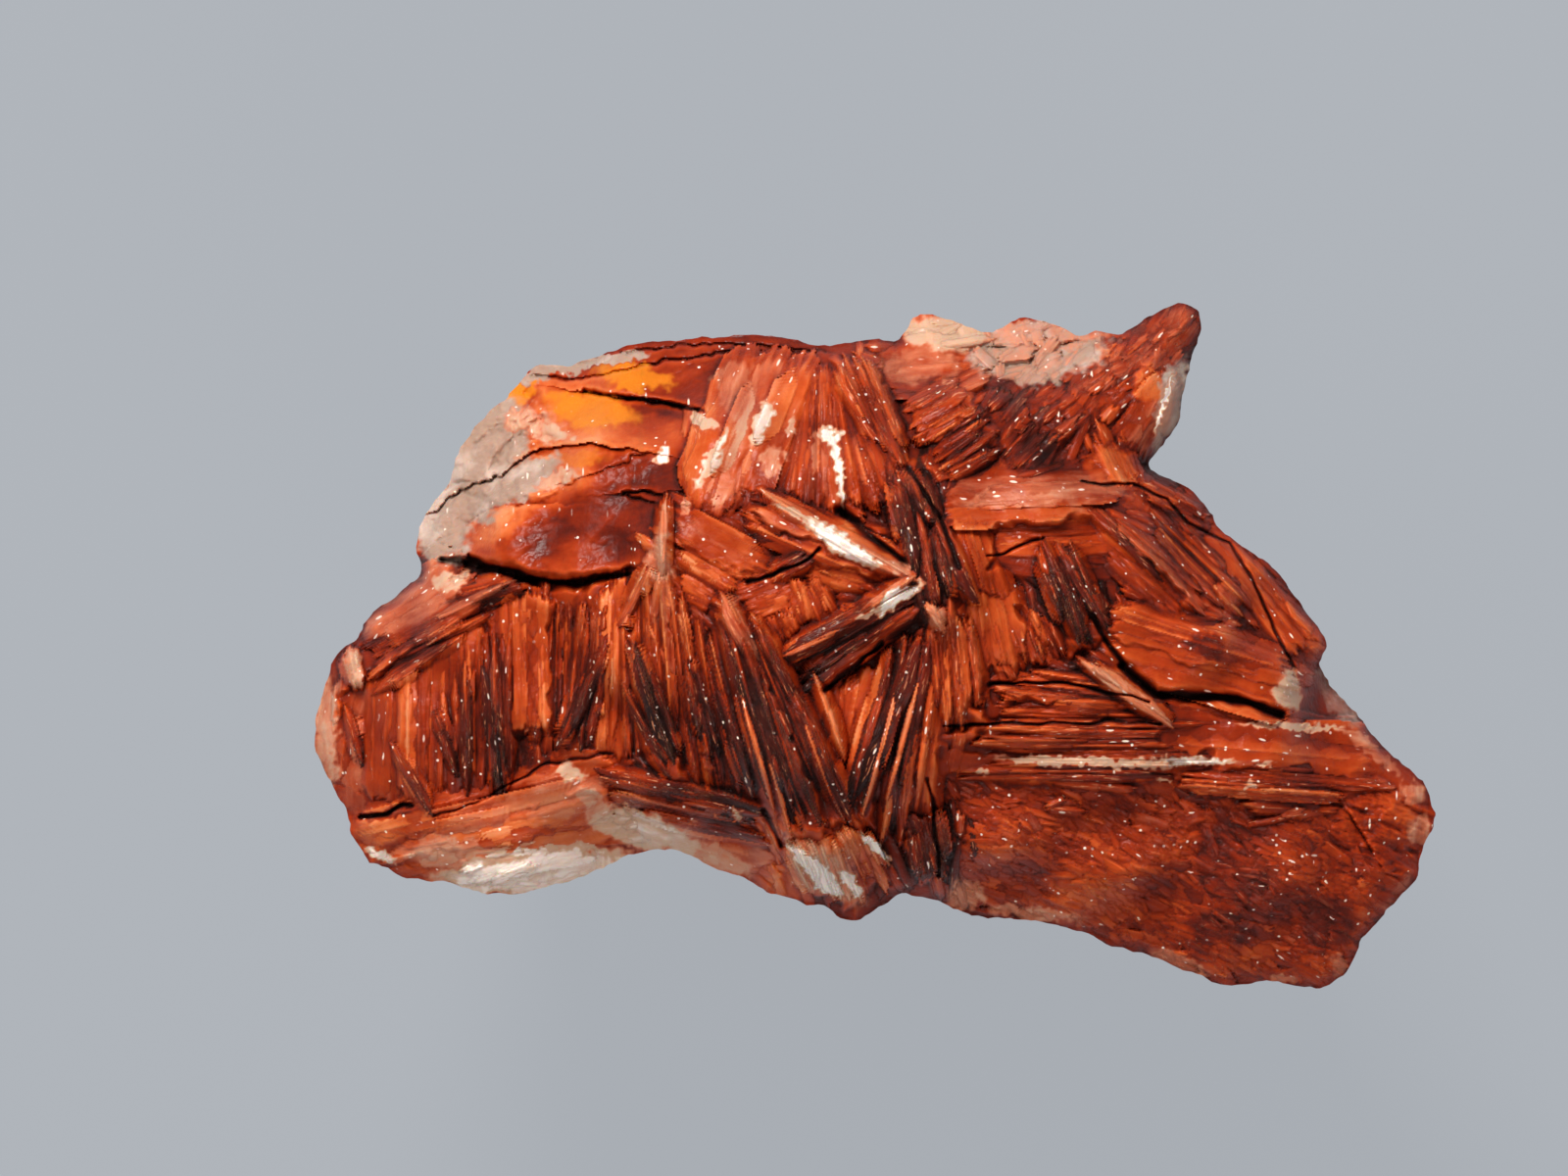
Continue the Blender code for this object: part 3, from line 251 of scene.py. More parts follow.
# Single blades that stand out: root, tip, width, lift, tone, paleness and how pointed they are
BLADES = [
    # left lobe
    (-15.25, -0.3, -14.55, -6.0, 0.66, 1.2, 0.06, 0.03, 0.9),
    (-14.9, 0.4, -14.75, -4.4, 0.24, 1.3, 0.22, 0.2, 0.9),
    (-16.0, -0.5, -15.93, -5.9, 0.44, 1.1, 0.13, 0.05, 0.9),
    (-16.5, -0.9, -16.35, -4.6, 0.24, 0.9, 0.4, 0.2, 0.9),
    (-17.4, -2.2, -16.3, -5.3, 0.44, 0.9, 0.18, 0.05, 0.9),
    (-17.0, -1.4, -16.7, -4.0, 0.22, 0.8, 0.48, 0.2, 0.9),
    (-19.0, -3.7, -17.2, -6.9, 0.38, 0.9, 0.2, 0.05, 0.9),
    (-18.5, -4.7, -17.4, -6.7, 0.24, 0.9, 0.2, 0.0, 0.9),
    (-20.8, -2.2, -20.05, -4.8, 0.34, 0.6, 0.28, 0.05, 0.9),
    (-19.8, -1.8, -15.9, 0.75, 0.42, 0.95, 0.2, 0.1, 0.8),
    (-19.2, -1.6, -17.2, -0.3, 0.22, 1.05, 0.34, 0.2, 0.9),
    (-19.9, -1.2, -16.6, 1.3, 0.32, 1.15, 0.26, 0.12, 0.8),
    (-18.6, -0.2, -14.9, 2.0, 0.34, 1.3, 0.24, 0.25, 0.8),
    (-17.6, 0.9, -14.2, 2.5, 0.26, 1.45, 0.22, 0.35, 0.8),
    (-14.25, 1.2, -14.35, -3.6, 0.22, 1.15, 0.3, 0.1, 0.9),
    (-13.9, 1.6, -13.4, -3.3, 0.8, 0.75, 0.48, 0.15, 0.1),
    # left fans
    (-12.6, 1.2, -13.3, -4.1, 0.26, 0.75, 0.32, 0.05, 0.9),
    (-10.4, 0.5, -11.95, -3.6, 0.5, 1.0, 0.12, 0.05, 0.9),
    (-11.2, -0.8, -12.45, -4.2, 0.34, 0.8, 0.24, 0.05, 0.9),
    (-10.6, -1.0, -11.3, -4.1, 0.36, 0.8, 0.26, 0.05, 0.9),
    (-10.05, 1.6, -10.35, -4.3, 0.3, 0.7, 0.6, 0.1, 0.7),
    (-9.75, 0.2, -7.55, -4.1, 0.62, 1.35, 0.03, 0.0, 0.9),
    (-9.95, -1.4, -8.1, -4.9, 0.34, 1.3, 0.1, 0.0, 0.9),
    (-8.9, -3.8, -7.8, -5.4, 0.26, 1.15, 0.13, 0.0, 0.9),
    (-7.42, 0.1, -6.1, -4.4, 0.4, 1.35, 0.06, 0.0, 0.9),
    (-6.35, -1.4, -4.8, -5.9, 0.42, 1.25, 0.07, 0.0, 0.9),
    (-8.9, 1.0, -7.2, -3.0, 0.2, 1.15, 0.55, 0.35, 0.9), (-7.9, 1.9, -6.9, -2.6, 0.2, 1.15, 0.62, 0.4, 0.9),
    (-8.2, 5.7, -8.35, 2.6, 0.24, 1.35, 0.6, 0.55, 0.9), (-8.8, 3.2, -10.0, 0.6, 0.3, 0.95, 0.55, 0.3, 0.8),
    (-8.4, 3.0, -8.7, 0.4, 0.28, 1.15, 0.58, 0.4, 0.8),
    (-20.65, -0.1, -20.25, -1.7, 0.6, 0.9, 0.5, 0.7, 0.6),
    # long dark sheaf
    (-5.95, 1.9, -4.5, -0.9, 0.62, 1.75, 0.3, 0.38, 0.7),
    (-5.1, -0.6, -2.5, -7.2, 0.86, 1.95, 0.03, 0.0, 0.8),
    (-4.75, 1.1, -3.0, -2.6, 0.5, 1.85, 0.16, 0.05, 0.8),
    (-3.3, -1.4, -1.0, -6.8, 0.5, 1.9, 0.13, 0.05, 0.8),
    (-3.8, -2.8, -2.1, -7.1, 0.13, 2.2, 0.8, 0.45, 0.9), (-3.1, -2.0, -1.5, -6.4, 0.1, 2.0, 0.66, 0.3, 0.9),
    (-4.3, -3.8, -3.3, -7.4, 0.1, 2.0, 0.66, 0.3, 0.9), (-5.3, -1.6, -3.9, -6.6, 0.14, 1.95, 0.6, 0.3, 0.9),
    (-2.4, -1.0, -1.2, -4.4, 0.14, 1.75, 0.62, 0.3, 0.9),
    # blades that meet in a V, and the fan under it
    (1.6, 2.35, -4.2, -0.75, 0.66, 1.45, 0.17, 0.1, 0.7),
    (1.8, 1.8, -3.1, -1.75, 0.6, 1.25, 0.24, 0.08, 0.7), (0.5, 0.9, -2.6, -1.2, 0.24, 1.4, 0.04, 0.0, 0.9),
    (-0.8, 0.9, -4.0, -0.6, 0.14, 1.62, 0.6, 0.3, 0.9), (1.6, 2.9, -0.9, 1.1, 0.26, 1.75, 0.4, 0.5, 0.9),
    (1.75, 0.3, -0.75, -5.9, 0.8, 1.55, 0.07, 0.0, 0.7), (2.1, 0.5, 0.8, -5.7, 0.56, 1.45, 0.12, 0.0, 0.7),
    (0.45, -0.9, -1.1, -6.3, 0.3, 1.45, 0.28, 0.1, 0.9),
    (1.0, -0.9, -0.5, -6.6, 0.13, 1.72, 0.72, 0.4, 0.9),
    (1.7, -1.0, 0.4, -6.0, 0.13, 1.75, 0.68, 0.35, 0.9), (2.35, 0.0, 1.5, -6.6, 0.26, 1.2, 0.6, 0.15, 0.8),
    (1.9, 1.75, 2.7, 0.5, 0.3, 1.6, 0.62, 0.5, 0.8), (1.35, -6.4, 2.3, -9.0, 0.8, 1.2, 0.12, 0.05, 0.5),
    (0.75, -4.6, 0.3, -7.6, 0.24, 1.15, 0.66, 0.2, 0.8),
    # lens blades lying across
    (-11.0, -5.0, -4.0, -6.7, 0.78, 1.35, 0.12, 0.05, 0.8),
    (-9.4, -6.4, -4.1, -7.6, 0.56, 1.05, 0.33, 0.1, 0.8),
    (-10.3, -5.7, -4.9, -6.9, 0.16, 1.45, 0.3, 0.3, 0.9),
    # winding column
    (0.75, 6.6, 1.55, 2.6, 0.62, 1.75, 0.07, 0.0, 0.8), (1.5, 5.6, 2.3, 1.4, 0.3, 1.65, 0.3, 0.2, 0.9),
    (2.0, 5.1, 3.8, 1.5, 0.6, 1.4, 0.16, 0.05, 0.8), (2.7, 2.2, 3.4, -2.6, 0.26, 1.35, 0.35, 0.2, 0.9),
    # upper middle and right
    (-4.6, 6.0, 1.9, 2.2, 0.5, 1.7, 0.52, 0.42, 0.8), (6.3, 4.1, 8.3, 0.0, 0.52, 1.2, 0.1, 0.0, 0.9),
    (7.0, 4.0, 9.1, 0.5, 0.44, 1.25, 0.12, 0.0, 0.9), (8.2, 5.5, 11.4, 2.4, 0.4, 0.95, 0.16, 0.1, 0.9),
    (8.0, -0.5, 11.6, -3.1, 0.54, 1.55, 0.62, 0.55, 0.9),
]


class Field:
    """Seeded gradient noise on arrays of points."""

    def __init__(self, seed):
        rng = np.random.default_rng(seed)
        self.order = np.tile(rng.permutation(256), 3)
        turn = rng.uniform(0, 2 * np.pi, 256)
        rise = rng.uniform(-1, 1, 256)
        flat = np.sqrt(1 - rise ** 2)
        self.slopes = np.stack((flat * np.cos(turn), flat * np.sin(turn), rise), 1)

    def __call__(self, x, y, z=0.0):
        x, y, z = np.broadcast_arrays(x, y, z)
        cell = np.floor((x, y, z)).astype(int)
        part = np.array((x, y, z)) - cell
        cell &= 255
        fade = part ** 3 * (part * (part * 6 - 15) + 10)
        total = np.zeros(x.shape)
        for corner in range(8):
            step = np.array((corner & 1, corner >> 1 & 1, corner >> 2))
            spot = [c + s for c, s in zip(cell, step)]
            key = self.order[self.order[self.order[spot[0]] + spot[1]] + spot[2]]
            slope = self.slopes[key]
            weight = np.prod([fade[i] if step[i] else 1 - fade[i] for i in range(3)], axis=0)
            total += weight * sum(slope[..., i] * (part[i] - step[i]) for i in range(3))
        return total * 1.6

    def layered(self, x, y, z=0.0, octaves=4, gain=0.5):
        total = 0.0
        for octave in range(octaves):
            scale = 2.0 ** octave
            total = total + gain ** octave * self(x * scale, y * scale, z * scale + 7.3 * octave)
        return total


FIELD = Field(SEED)


def plates(x, y, size, stretch, angle, tilt, seed):
    """Overlapping tilted plates, as where many flat crystals crowd together: a height near 0 to 1."""
    table = np.random.default_rng(seed).random((4096, 5))
    turn = np.radians(angle)
    along = (x * np.cos(turn) + y * np.sin(turn)) / size / stretch
    across = (y * np.cos(turn) - x * np.sin(turn)) / size
    cell_a, cell_b = np.floor(along).astype(int), np.floor(across).astype(int)
    best = np.full(np.shape(x), -9.0)
    for step_a in (-1, 0, 1):
        for step_b in (-1, 0, 1):
            a, b = cell_a + step_a, cell_b + step_b
            own = table[(a * 73 + b * 179) % 4096]
            da, db = along - a - own[..., 0], across - b - own[..., 1]
            lean = tilt * (own[..., 3] - 0.5) * da + tilt * (own[..., 4] - 0.5) * db
            falls = 4.0 * np.maximum(0.0, np.hypot(da, db) - 0.75)
            best = np.maximum(best, own[..., 2] + lean - falls)
    return best


def rim_distance(x, y, outline=OUTLINE):
    """Distance in from an outline, negative outside it, and the nearest place on it."""
    ends = np.array(outline)
    starts = np.roll(ends, 1, axis=0)
    flat = np.stack((np.ravel(x), np.ravel(y)), 1)
    least = np.full(len(flat), 1e9)
    nearest = np.zeros((len(flat), 2))
    within = np.zeros(len(flat), bool)
    for start, end in zip(starts, ends):
        run = end - start
        along = np.clip(((flat - start) @ run) / (run @ run), 0, 1)
        foot = start + along[:, None] * run
        gap = np.hypot(*(flat - foot).T)
        closer = gap < least
        least[closer] = gap[closer]
        nearest[closer] = foot[closer]
        if start[1] != end[1]:
            crosses = (start[1] > flat[:, 1]) != (end[1] > flat[:, 1])
            within ^= crosses & (flat[:, 0] < start[0] + run[0] * (flat[:, 1] - start[1]) / run[1])
    return np.where(within, least, -least).reshape(np.shape(x)), nearest


def ground(x, y):
    """Height of the face: the relief's places blended by closeness, falling off at the rim."""
    weight_sum = 0.0
    height = 0.0
    for px, py, pz in RELIEF:
        weight = 1.0 / ((x - px) ** 2 + (y - py) ** 2 + 0.8) ** 2
        weight_sum = weight_sum + weight
        height = height + weight * pz
    inward = np.maximum(rim_distance(x, y)[0], 0.0)
    return height / weight_sum - RIM_DROP * np.exp(-inward / RIM_REACH)


# Patches of colour: place, half sizes, angle, what they change, and how strongly. A pale patch stronger than
# about 1.25 turns white there, a painted glint.
PATCHES = [
    # upper left mass: grey-white to the left, yellow and orange above
    (-13.4, 8.0, 3.4, 2.4, 35, "bright", 0.85), (-15.6, 4.9, 2.2, 1.1, 30, "bright", 0.6),
    (-15.0, 8.1, 1.9, 1.4, 45, "grey", 1.0), (-16.2, 6.8, 1.0, 1.4, -30, "grey", 1.0),
    (-13.9, 6.4, 1.9, 0.75, 25, "grey", 1.0), (-15.4, 5.6, 1.3, 0.8, 30, "grey", 0.95),
    (-16.9, 4.3, 1.2, 1.1, 0, "grey", 0.95), (-17.0, 5.6, 1.1, 1.2, -30, "grey", 1.0),
    (-12.6, 10.85, 1.5, 0.35, 12, "grey", 1.0), (-10.4, 11.25, 1.6, 0.25, 5, "grey", 0.9),
    (-12.9, 8.5, 1.2, 0.45, -20, "pale", 1.0), (-12.4, 6.5, 0.9, 0.3, 25, "pale", 0.9),
    (-13.6, 8.9, 1.0, 0.5, 10, "pale", 0.9), (-14.0, 9.9, 0.8, 0.5, 30, "yellow", 1.0),
    (-15.3, 8.7, 1.3, 0.3, 48, "yellow", 0.9), (-11.0, 9.2, 1.9, 0.7, -8, "yellow", 0.8),
    (-9.4, 10.5, 1.6, 0.5, -8, "yellow", 0.8), (-13.3, 7.1, 0.6, 0.2, 10, "yellow", 0.8),
    (-11.5, 7.3, 1.2, 0.35, 0, "yellow", 0.5), (-14.5, 4.7, 1.0, 0.6, 0, "bright", 0.6),
    (-10.0, 8.4, 3.0, 1.0, -8, "bright", 0.45), (-10.0, 4.6, 2.4, 1.4, 0, "dark", 0.15),
    (-8.4, 7.5, 0.3, 0.4, 0, "pale", 1.8), (-6.8, 8.7, 0.6, 0.28, -20, "pale", 1.2),
    (-6.4, 7.2, 1.3, 0.25, 64, "pale", 1.5), (-7.4, 5.5, 0.2, 0.4, 0, "pale", 0.8),
    (-6.6, 7.0, 1.6, 0.8, 60, "bright", 0.5),
    # upper middle
    (-4.5, 8.6, 0.3, 1.0, -20, "pale", 1.5), (-4.0, 7.2, 0.5, 0.6, -30, "pale", 0.8),
    (-5.4, 9.8, 0.8, 1.6, 15, "pale", 0.6), (-3.3, 8.5, 0.2, 0.35, 0, "pale", 0.9),
    (-1.8, 8.2, 0.4, 0.4, 0, "pale", 1.9), (-1.5, 6.9, 0.2, 1.5, 8, "pale", 1.8),
    (-2.4, 7.5, 0.16, 1.0, -5, "pale", 0.6), (-1.3, 3.9, 1.6, 0.36, -32, "pale", 1.9),
    (-3.0, 5.0, 1.1, 0.16, -30, "pale", 1.1), (0.7, 3.05, 0.7, 0.2, -20, "pale", 0.7),
    (-5.6, 6.2, 1.0, 0.6, 20, "pale", 0.35), (-8.4, 3.4, 0.55, 1.2, 0, "pale", 0.75),
    (-8.3, 1.6, 0.5, 1.2, 0, "pale", 0.4), (-7.2, 4.6, 0.8, 0.4, -30, "pale", 0.4),
    (-5.6, 1.8, 0.4, 0.3, 0, "pale", 0.5), (-3.6, 9.6, 0.9, 1.2, 20, "bright", 0.5),
    # lower middle
    (-1.9, -8.9, 1.9, 0.9, -42, "pale", 0.75), (-2.5, -8.5, 1.2, 0.3, -40, "pale", 2.3),
    (-2.0, -9.3, 0.9, 0.3, -45, "pale", 2.2), (-1.0, -9.3, 0.7, 0.25, -52, "pale", 2.0),
    (0.0, -7.9, 0.9, 0.18, -50, "pale", 1.9), (-5.4, -6.6, 0.18, 0.3, 10, "pale", 1.0),
    (-11.8, -4.9, 0.5, 0.6, 0, "pale", 1.3), (-11.2, -6.2, 0.5, 0.9, 30, "pale", 0.9),
    (-13.0, -8.95, 4.4, 0.9, 5, "pale", 1.65), (-9.0, -7.3, 2.4, 0.75, -18, "pale", 1.4),
    (-6.4, -8.4, 1.6, 0.6, -22, "pale", 0.9), (-3.4, -9.4, 0.8, 0.4, 0, "bright", 0.8),
    (-12.5, -6.0, 2.2, 0.9, 15, "pale", 0.6), (-15.4, -6.7, 1.8, 0.5, 15, "pale", 0.5),
    (-19.5, -8.3, 0.7, 0.2, -20, "pale", 1.6), (-16.4, -8.2, 2.6, 0.6, -5, "pale", 0.75),
    (-17.6, -7.9, 1.6, 0.25, 0, "dark", 0.25), (-13.6, -8.1, 1.0, 0.12, 3, "pale", 1.6),
    (-19.2, -6.6, 1.2, 0.2, 12, "dark", 0.8),
    # left end
    (-21.7, -3.4, 0.6, 2.8, 0, "pale", 0.85), (-21.0, -1.0, 0.7, 0.8, 0, "pale", 0.3),
    (-20.4, -0.9, 0.3, 0.8, 10, "pale", 0.8), (-16.7, 2.55, 0.8, 0.45, 20, "pale", 0.95),
    (-18.7, 1.5, 1.3, 0.5, 35, "pale", 0.45), (-20.6, -6.0, 0.6, 0.9, 0, "pale", 0.4),
    (-16.0, 0.8, 1.0, 0.6, 30, "bright", 0.5),
    # middle
    (0.85, 1.85, 1.0, 0.3, 36, "pale", 1.9), (-0.3, 1.2, 0.6, 0.12, 25, "pale", 1.2),
    (2.35, 1.0, 0.3, 0.55, 0, "pale", 0.6), (-1.6, -2.9, 0.8, 1.4, 0, "bright", 0.3),
    # right
    (16.2, -1.7, 0.6, 0.8, 0, "pale", 1.1), (18.2, -2.1, 1.6, 0.6, -48, "grey", 0.42),
    (12.9, -0.1, 0.8, 0.45, -20, "dark", 0.7), (5.6, 5.7, 2.8, 0.5, 3, "pale", 0.6),
    (8.6, 6.1, 1.4, 0.3, 0, "pale", 0.5), (16.2, -3.15, 2.2, 0.18, -4, "pale", 1.05),
    (19.6, -4.2, 1.6, 0.3, -38, "pale", 0.6), (8.0, -4.5, 3.4, 0.2, -2, "pale", 1.2),
    (12.4, -4.5, 1.6, 0.18, -2, "pale", 1.6), (15.1, -4.6, 0.4, 0.15, 0, "pale", 1.0),
    (11.2, -5.2, 0.3, 0.12, 0, "pale", 1.0), (14.5, -5.5, 0.35, 0.15, 0, "pale", 1.0),
    (4.1, -4.9, 0.3, 0.14, 0, "pale", 1.0), (14.0, -8.6, 1.6, 1.6, 0, "dark", 0.45),
    (13.6, -11.0, 1.3, 0.8, 0, "dark", 0.6), (17.8, -10.9, 1.1, 1.2, 0, "dark", 0.6),
    (15.6, -9.8, 1.6, 1.0, 0, "dark", 0.45), (21.2, -5.8, 0.6, 0.5, 0, "pale", 0.7),
    (21.4, -7.3, 0.5, 0.6, 0, "pale", 0.7), (3.6, -9.8, 0.9, 0.7, 0, "pale", 0.75),
    (6.2, -10.6, 1.9, 0.35, -6, "pale", 0.75), (12.0, -12.6, 1.4, 0.4, -22, "pale", 0.6),
    (16.1, -13.1, 0.6, 0.25, 0, "pale", 0.7), (18.4, -12.7, 0.4, 0.6, 30, "pale", 0.6),
    (20.6, -9.8, 0.3, 1.0, -35, "pale", 0.4), (8.6, -9.8, 1.8, 0.9, -20, "bright", 0.45),
    # upper right
    (1.7, 11.0, 1.8, 0.8, 0, "pale", 0.6), (2.8, 12.3, 1.9, 0.8, -5, "pale", 1.15),
    (6.4, 11.5, 2.7, 1.2, 5, "grey", 1.0), (5.8, 11.0, 2.4, 0.8, 5, "pale", 0.5),
    (6.8, 12.2, 2.9, 0.6, 3, "pale", 0.62), (10.8, 10.1, 0.6, 0.7, 20, "bright", 0.9),
    (11.5, 9.3, 0.55, 2.2, -18, "grey", 0.7), (11.3, 9.5, 0.1, 1.3, -20, "pale", 1.9),
    (11.5, 12.0, 2.0, 1.3, 40, "pale", 0.28), (9.0, 10.8, 1.8, 0.9, 20, "pale", 0.32),
    (9.1, 7.0, 0.9, 0.6, 0, "bright", 0.6),
]

# Steps and grooves in the face: route, step up on its left side, how far the step reaches, groove
# depth and groove width
LEDGES = [
    ([(-10.1, 7.7), (-11, 7.85), (-13.1, 7.7), (-14.0, 7.3), (-14.6, 6.6), (-15.3, 6.5), (-16.3, 6.1),
     (-17.0, 5.6), (-17.8, 5.0)], -0.45, 1.6, 0.14, 0.07),
    ([(-11.4, 9.95), (-10.0, 9.75), (-8.3, 9.5), (-6.7, 9.1)], 0.35, 1.0, 0.5, 0.09),
    ([(-9.8, 5.9), (-8.6, 5.95), (-7.4, 5.9)], 0.2, 0.8, 0.35, 0.06),
    ([(-9.6, 5.8), (-8.4, 5.5), (-7.5, 5.2)], 0.15, 0.6, 0.25, 0.05),
    ([(-18.0, 3.0), (-16.5, 3.4), (-15.0, 3.0), (-13.2, 2.5), (-11.5, 2.45), (-9.5, 2.8)], 0.9, 1.2, 1.6,
     0.2),
    ([(-13.6, 10.6), (-11.5, 10.4), (-9.0, 11.0), (-6.0, 11.5), (-3.0, 11.5)], -0.2, 0.5, 0.25, 0.06),
    ([(-10.0, 11.5), (-8.0, 11.7), (-5.0, 11.8), (-2.0, 11.5)], -0.15, 0.4, 0.25, 0.05),
    ([(-12.2, 6.3), (-10.6, 6.7), (-9.2, 7.4)], 0.12, 0.8, 0.1, 0.05),
    ([(-15.9, 4.9), (-14.4, 5.5), (-12.8, 5.5)], -0.2, 0.8, 0.1, 0.06),
    ([(-17.4, -6.8), (-15.0, -5.8), (-13.0, -5.0)], 0.15, 0.6, 0.3, 0.06),
    ([(8.0, 6.4), (10.0, 6.3), (11.4, 5.7), (12.2, 4.8), (13.9, 4.0), (14.8, 2.5), (15.6, 0.7),
     (16.4, -0.9)], -0.2, 0.8, 0.45, 0.09),
    ([(9.3, -0.9), (10.8, -1.9), (14.0, -1.9), (15.8, -2.6)], 0.7, 1.0, 1.0, 0.2),
    ([(3.6, 11.9), (5.4, 11.7), (7.5, 11.9), (9.6, 12.0)], 0.25, 0.5, 0.35, 0.09),
    ([(9.6, 8.2), (10.4, 9.2), (11.2, 11.0)], -0.3, 0.6, 0.3, 0.1),
    ([(17.2, -5.2), (18.6, -6.6), (19.6, -8.2)], 0.2, 0.8, 0.15, 0.06),
]

# Gaps between plates, carved and darkened with painted shade: route, depth and half width
GAPS = [
    ([(9.5, -0.8), (10.8, -1.9), (14.0, -2.05), (15.8, -2.7)], 1.0, 0.17),
    ([(-17.0, 3.4), (-15.0, 3.0), (-13.2, 2.5)], 1.0, 0.2),
    ([(-13.4, 2.55), (-11.5, 2.45), (-9.6, 2.8)], 0.5, 0.08),
    ([(-1.4, 5.2), (-0.2, 4.2), (1.0, 3.3)], 0.8, 0.16), ([(-20.2, -6.8), (-18.2, -6.3)], 0.6, 0.09),
    ([(4.4, -1.5), (7.5, -1.45), (10.5, -2.1)], 0.35, 0.06),
    ([(2.6, -3.05), (7.0, -2.95), (11.0, -3.0)], 0.35, 0.06),
    ([(8.0, 6.4), (10.0, 6.3), (11.4, 5.7), (12.2, 4.8), (13.9, 4.0), (14.8, 2.5), (15.6, 0.7),
     (16.4, -0.9)], 0.3, 0.05),
    ([(0.2, 0.1), (-0.9, -0.8), (-2.0, -1.7)], 0.6, 0.11), ([(-4.4, -6.4), (-3.6, -7.9)], 0.5, 0.1),
    ([(2.0, -5.2), (2.3, -7.0), (2.5, -9.0)], 0.4, 0.08), ([(1.3, 6.8), (2.4, 5.0), (3.2, 3.0)], 0.5, 0.09),
    ([(-10.3, -4.2), (-12.7, -4.6), (-14.5, -5.5), (-17.2, -6.7)], 0.2, 0.05),
    ([(-11.4, 9.95), (-10.0, 9.75), (-8.3, 9.5), (-6.7, 9.1)], 0.3, 0.06),
    ([(-4.9, 2.4), (-3.4, 3.0), (-2.2, 3.7)], 0.4, 0.08), ([(4.3, 3.5), (5.4, 3.8), (6.5, 4.1)], 0.3, 0.05),
    ([(8.4, 1.2), (8.9, 0.2), (9.6, -0.7)], 0.5, 0.1),
]

# Massive ground with its own kind of relief: outline, size of its plates, stretch, angle, height,
# tilt, fine roughness, tone and height of its fibres
MASSES = [
    ([(-18.2, 3.0), (-13.2, 2.4), (-9.0, 2.9), (-7.0, 5.0), (-5.4, 9.0), (-4.6, 12.3), (-14, 11.2)], 2.4,
     1.6, 14, 0.2, 0.4, 0.02, 0.42, 0.02),
    ([(2.2, -5.2), (12, -5.0), (17.4, -5.0), (20.4, -5.6), (22.4, -6.6), (19.0, -13.6), (13, -13.6),
     (2.6, -10.2)], 0.9, 1.9, -24, 0.26, 1.2, 0.05, 0.44, 0.16),
    ([(4.6, 10.4), (4.8, 6.6), (9.6, 6.5), (13, 12), (12.4, 13.8), (9, 11.8)], 0.9, 1.6, 38, 0.55, 1.5,
     0.06, 0.36, 0.3),
    ([(2.6, 6.6), (10.6, 6.9), (14.6, 4.4), (18, 0), (16, -3), (9, -1.4), (4.4, 1.0)], 1.3, 1.9, -30, 0.22,
     0.8, 0.04, 0.44, 0.1),
    ([(-0.2, 10.0), (4.8, 10.0), (9.4, 11.4), (9.8, 12.6), (1.0, 13.4)], 1.3, 1.5, 8, 0.42, 0.9, 0.08, 0.66,
     0.02),
    ([(-18.4, 2.8), (-15.4, 4.4), (-12.0, 6.2), (-12.4, 8.2), (-13.8, 11.0), (-19, 9)], 0.9, 1.5, 30, 0.42,
     1.5, 0.08, 0.72, 0.02),
    ([(-22.4, -4), (-20.3, -8.8), (-16, -10), (-9, -8.4), (-8.6, -6.6), (-12, -4.4), (-20.4, -6.8)], 1.6,
     2.2, 12, 0.22, 0.7, 0.03, 0.6, 0.04),
    ([(-10.6, -6.4), (-8.6, -8.2), (-3.4, -10.2), (-3.0, -8.4)], 0.9, 1.3, -20, 0.3, 1.0, 0.05, 0.72, 0.05),
]


# Small plates crowded over massive ground: outline, how many, direction, spread of directions, length,
# height and tone
FLAKES = [
    ([(2.4, -5.3), (12, -5.2), (17.2, -5.6), (18.2, -8.4), (20.6, -9.4), (18.8, -13.2), (13.5, -13.2),
     (8, -11.0), (3.0, -9.6)], 1100, -26, 16, 1.3, 0.05, 0.47),
    ([(4.7, 10.2), (4.9, 6.6), (9.6, 6.6), (12.2, 9), (12.6, 13.4), (9, 11.6)], 420, 38, 16, 1.5, 0.12,
     0.36),
    ([(2.8, 6.0), (10.4, 6.6), (14.4, 4.4), (17.5, 0), (16, -3), (9, -1.4), (4.4, 1.0)], 300, -32, 12, 1.8,
     0.06, 0.42),
    ([(-0.2, 10.2), (4.6, 10.2), (9.2, 11.6), (9.4, 12.6), (1.0, 13.0)], 40, 25, 50, 1.1, 0.1, 0.6),
    ([(-20.6, -7.2), (-9.2, -5.8), (-9.4, -8.2), (-13, -9.6), (-19.6, -8.8)], 60, 12, 10, 1.8, 0.03, 0.62),
    ([(-10.4, -6.4), (-8.6, -7.9), (-3.6, -9.8), (-3.2, -8.6)], 40, -20, 20, 1.1, 0.05, 0.72),
]


def segment_side(x, y, route):
    """Distance from a route, and which side of it a place is on: 1 on its left, -1 on its right."""
    least = np.full(np.shape(x), 1e9)
    side = np.zeros(np.shape(x))
    for (ax, ay), (bx, by) in zip(route, route[1:]):
        run_x, run_y = bx - ax, by - ay
        along = np.clip(((x - ax) * run_x + (y - ay) * run_y) / (run_x ** 2 + run_y ** 2), 0, 1)
        gap = np.hypot(x - ax - along * run_x, y - ay - along * run_y)
        closer = gap < least
        least = np.where(closer, gap, least)
        side = np.where(closer, np.sign(run_x * (y - ay) - run_y * (x - ax)), side)
    return least, side


def ledges(x, y):
    """Steps and grooves of the face."""
    waver = 0.12 * FIELD.layered(x * 1.3, y * 1.3, 31.0, 3)
    total = np.zeros(np.shape(x))
    for route, step, reach, depth, width in LEDGES:
        gap, side = segment_side(x + waver, y - waver, route)
        total += step * (side > 0) * np.exp(-gap / reach)
        total -= depth * np.exp(-(gap / width) ** 2)
    return total


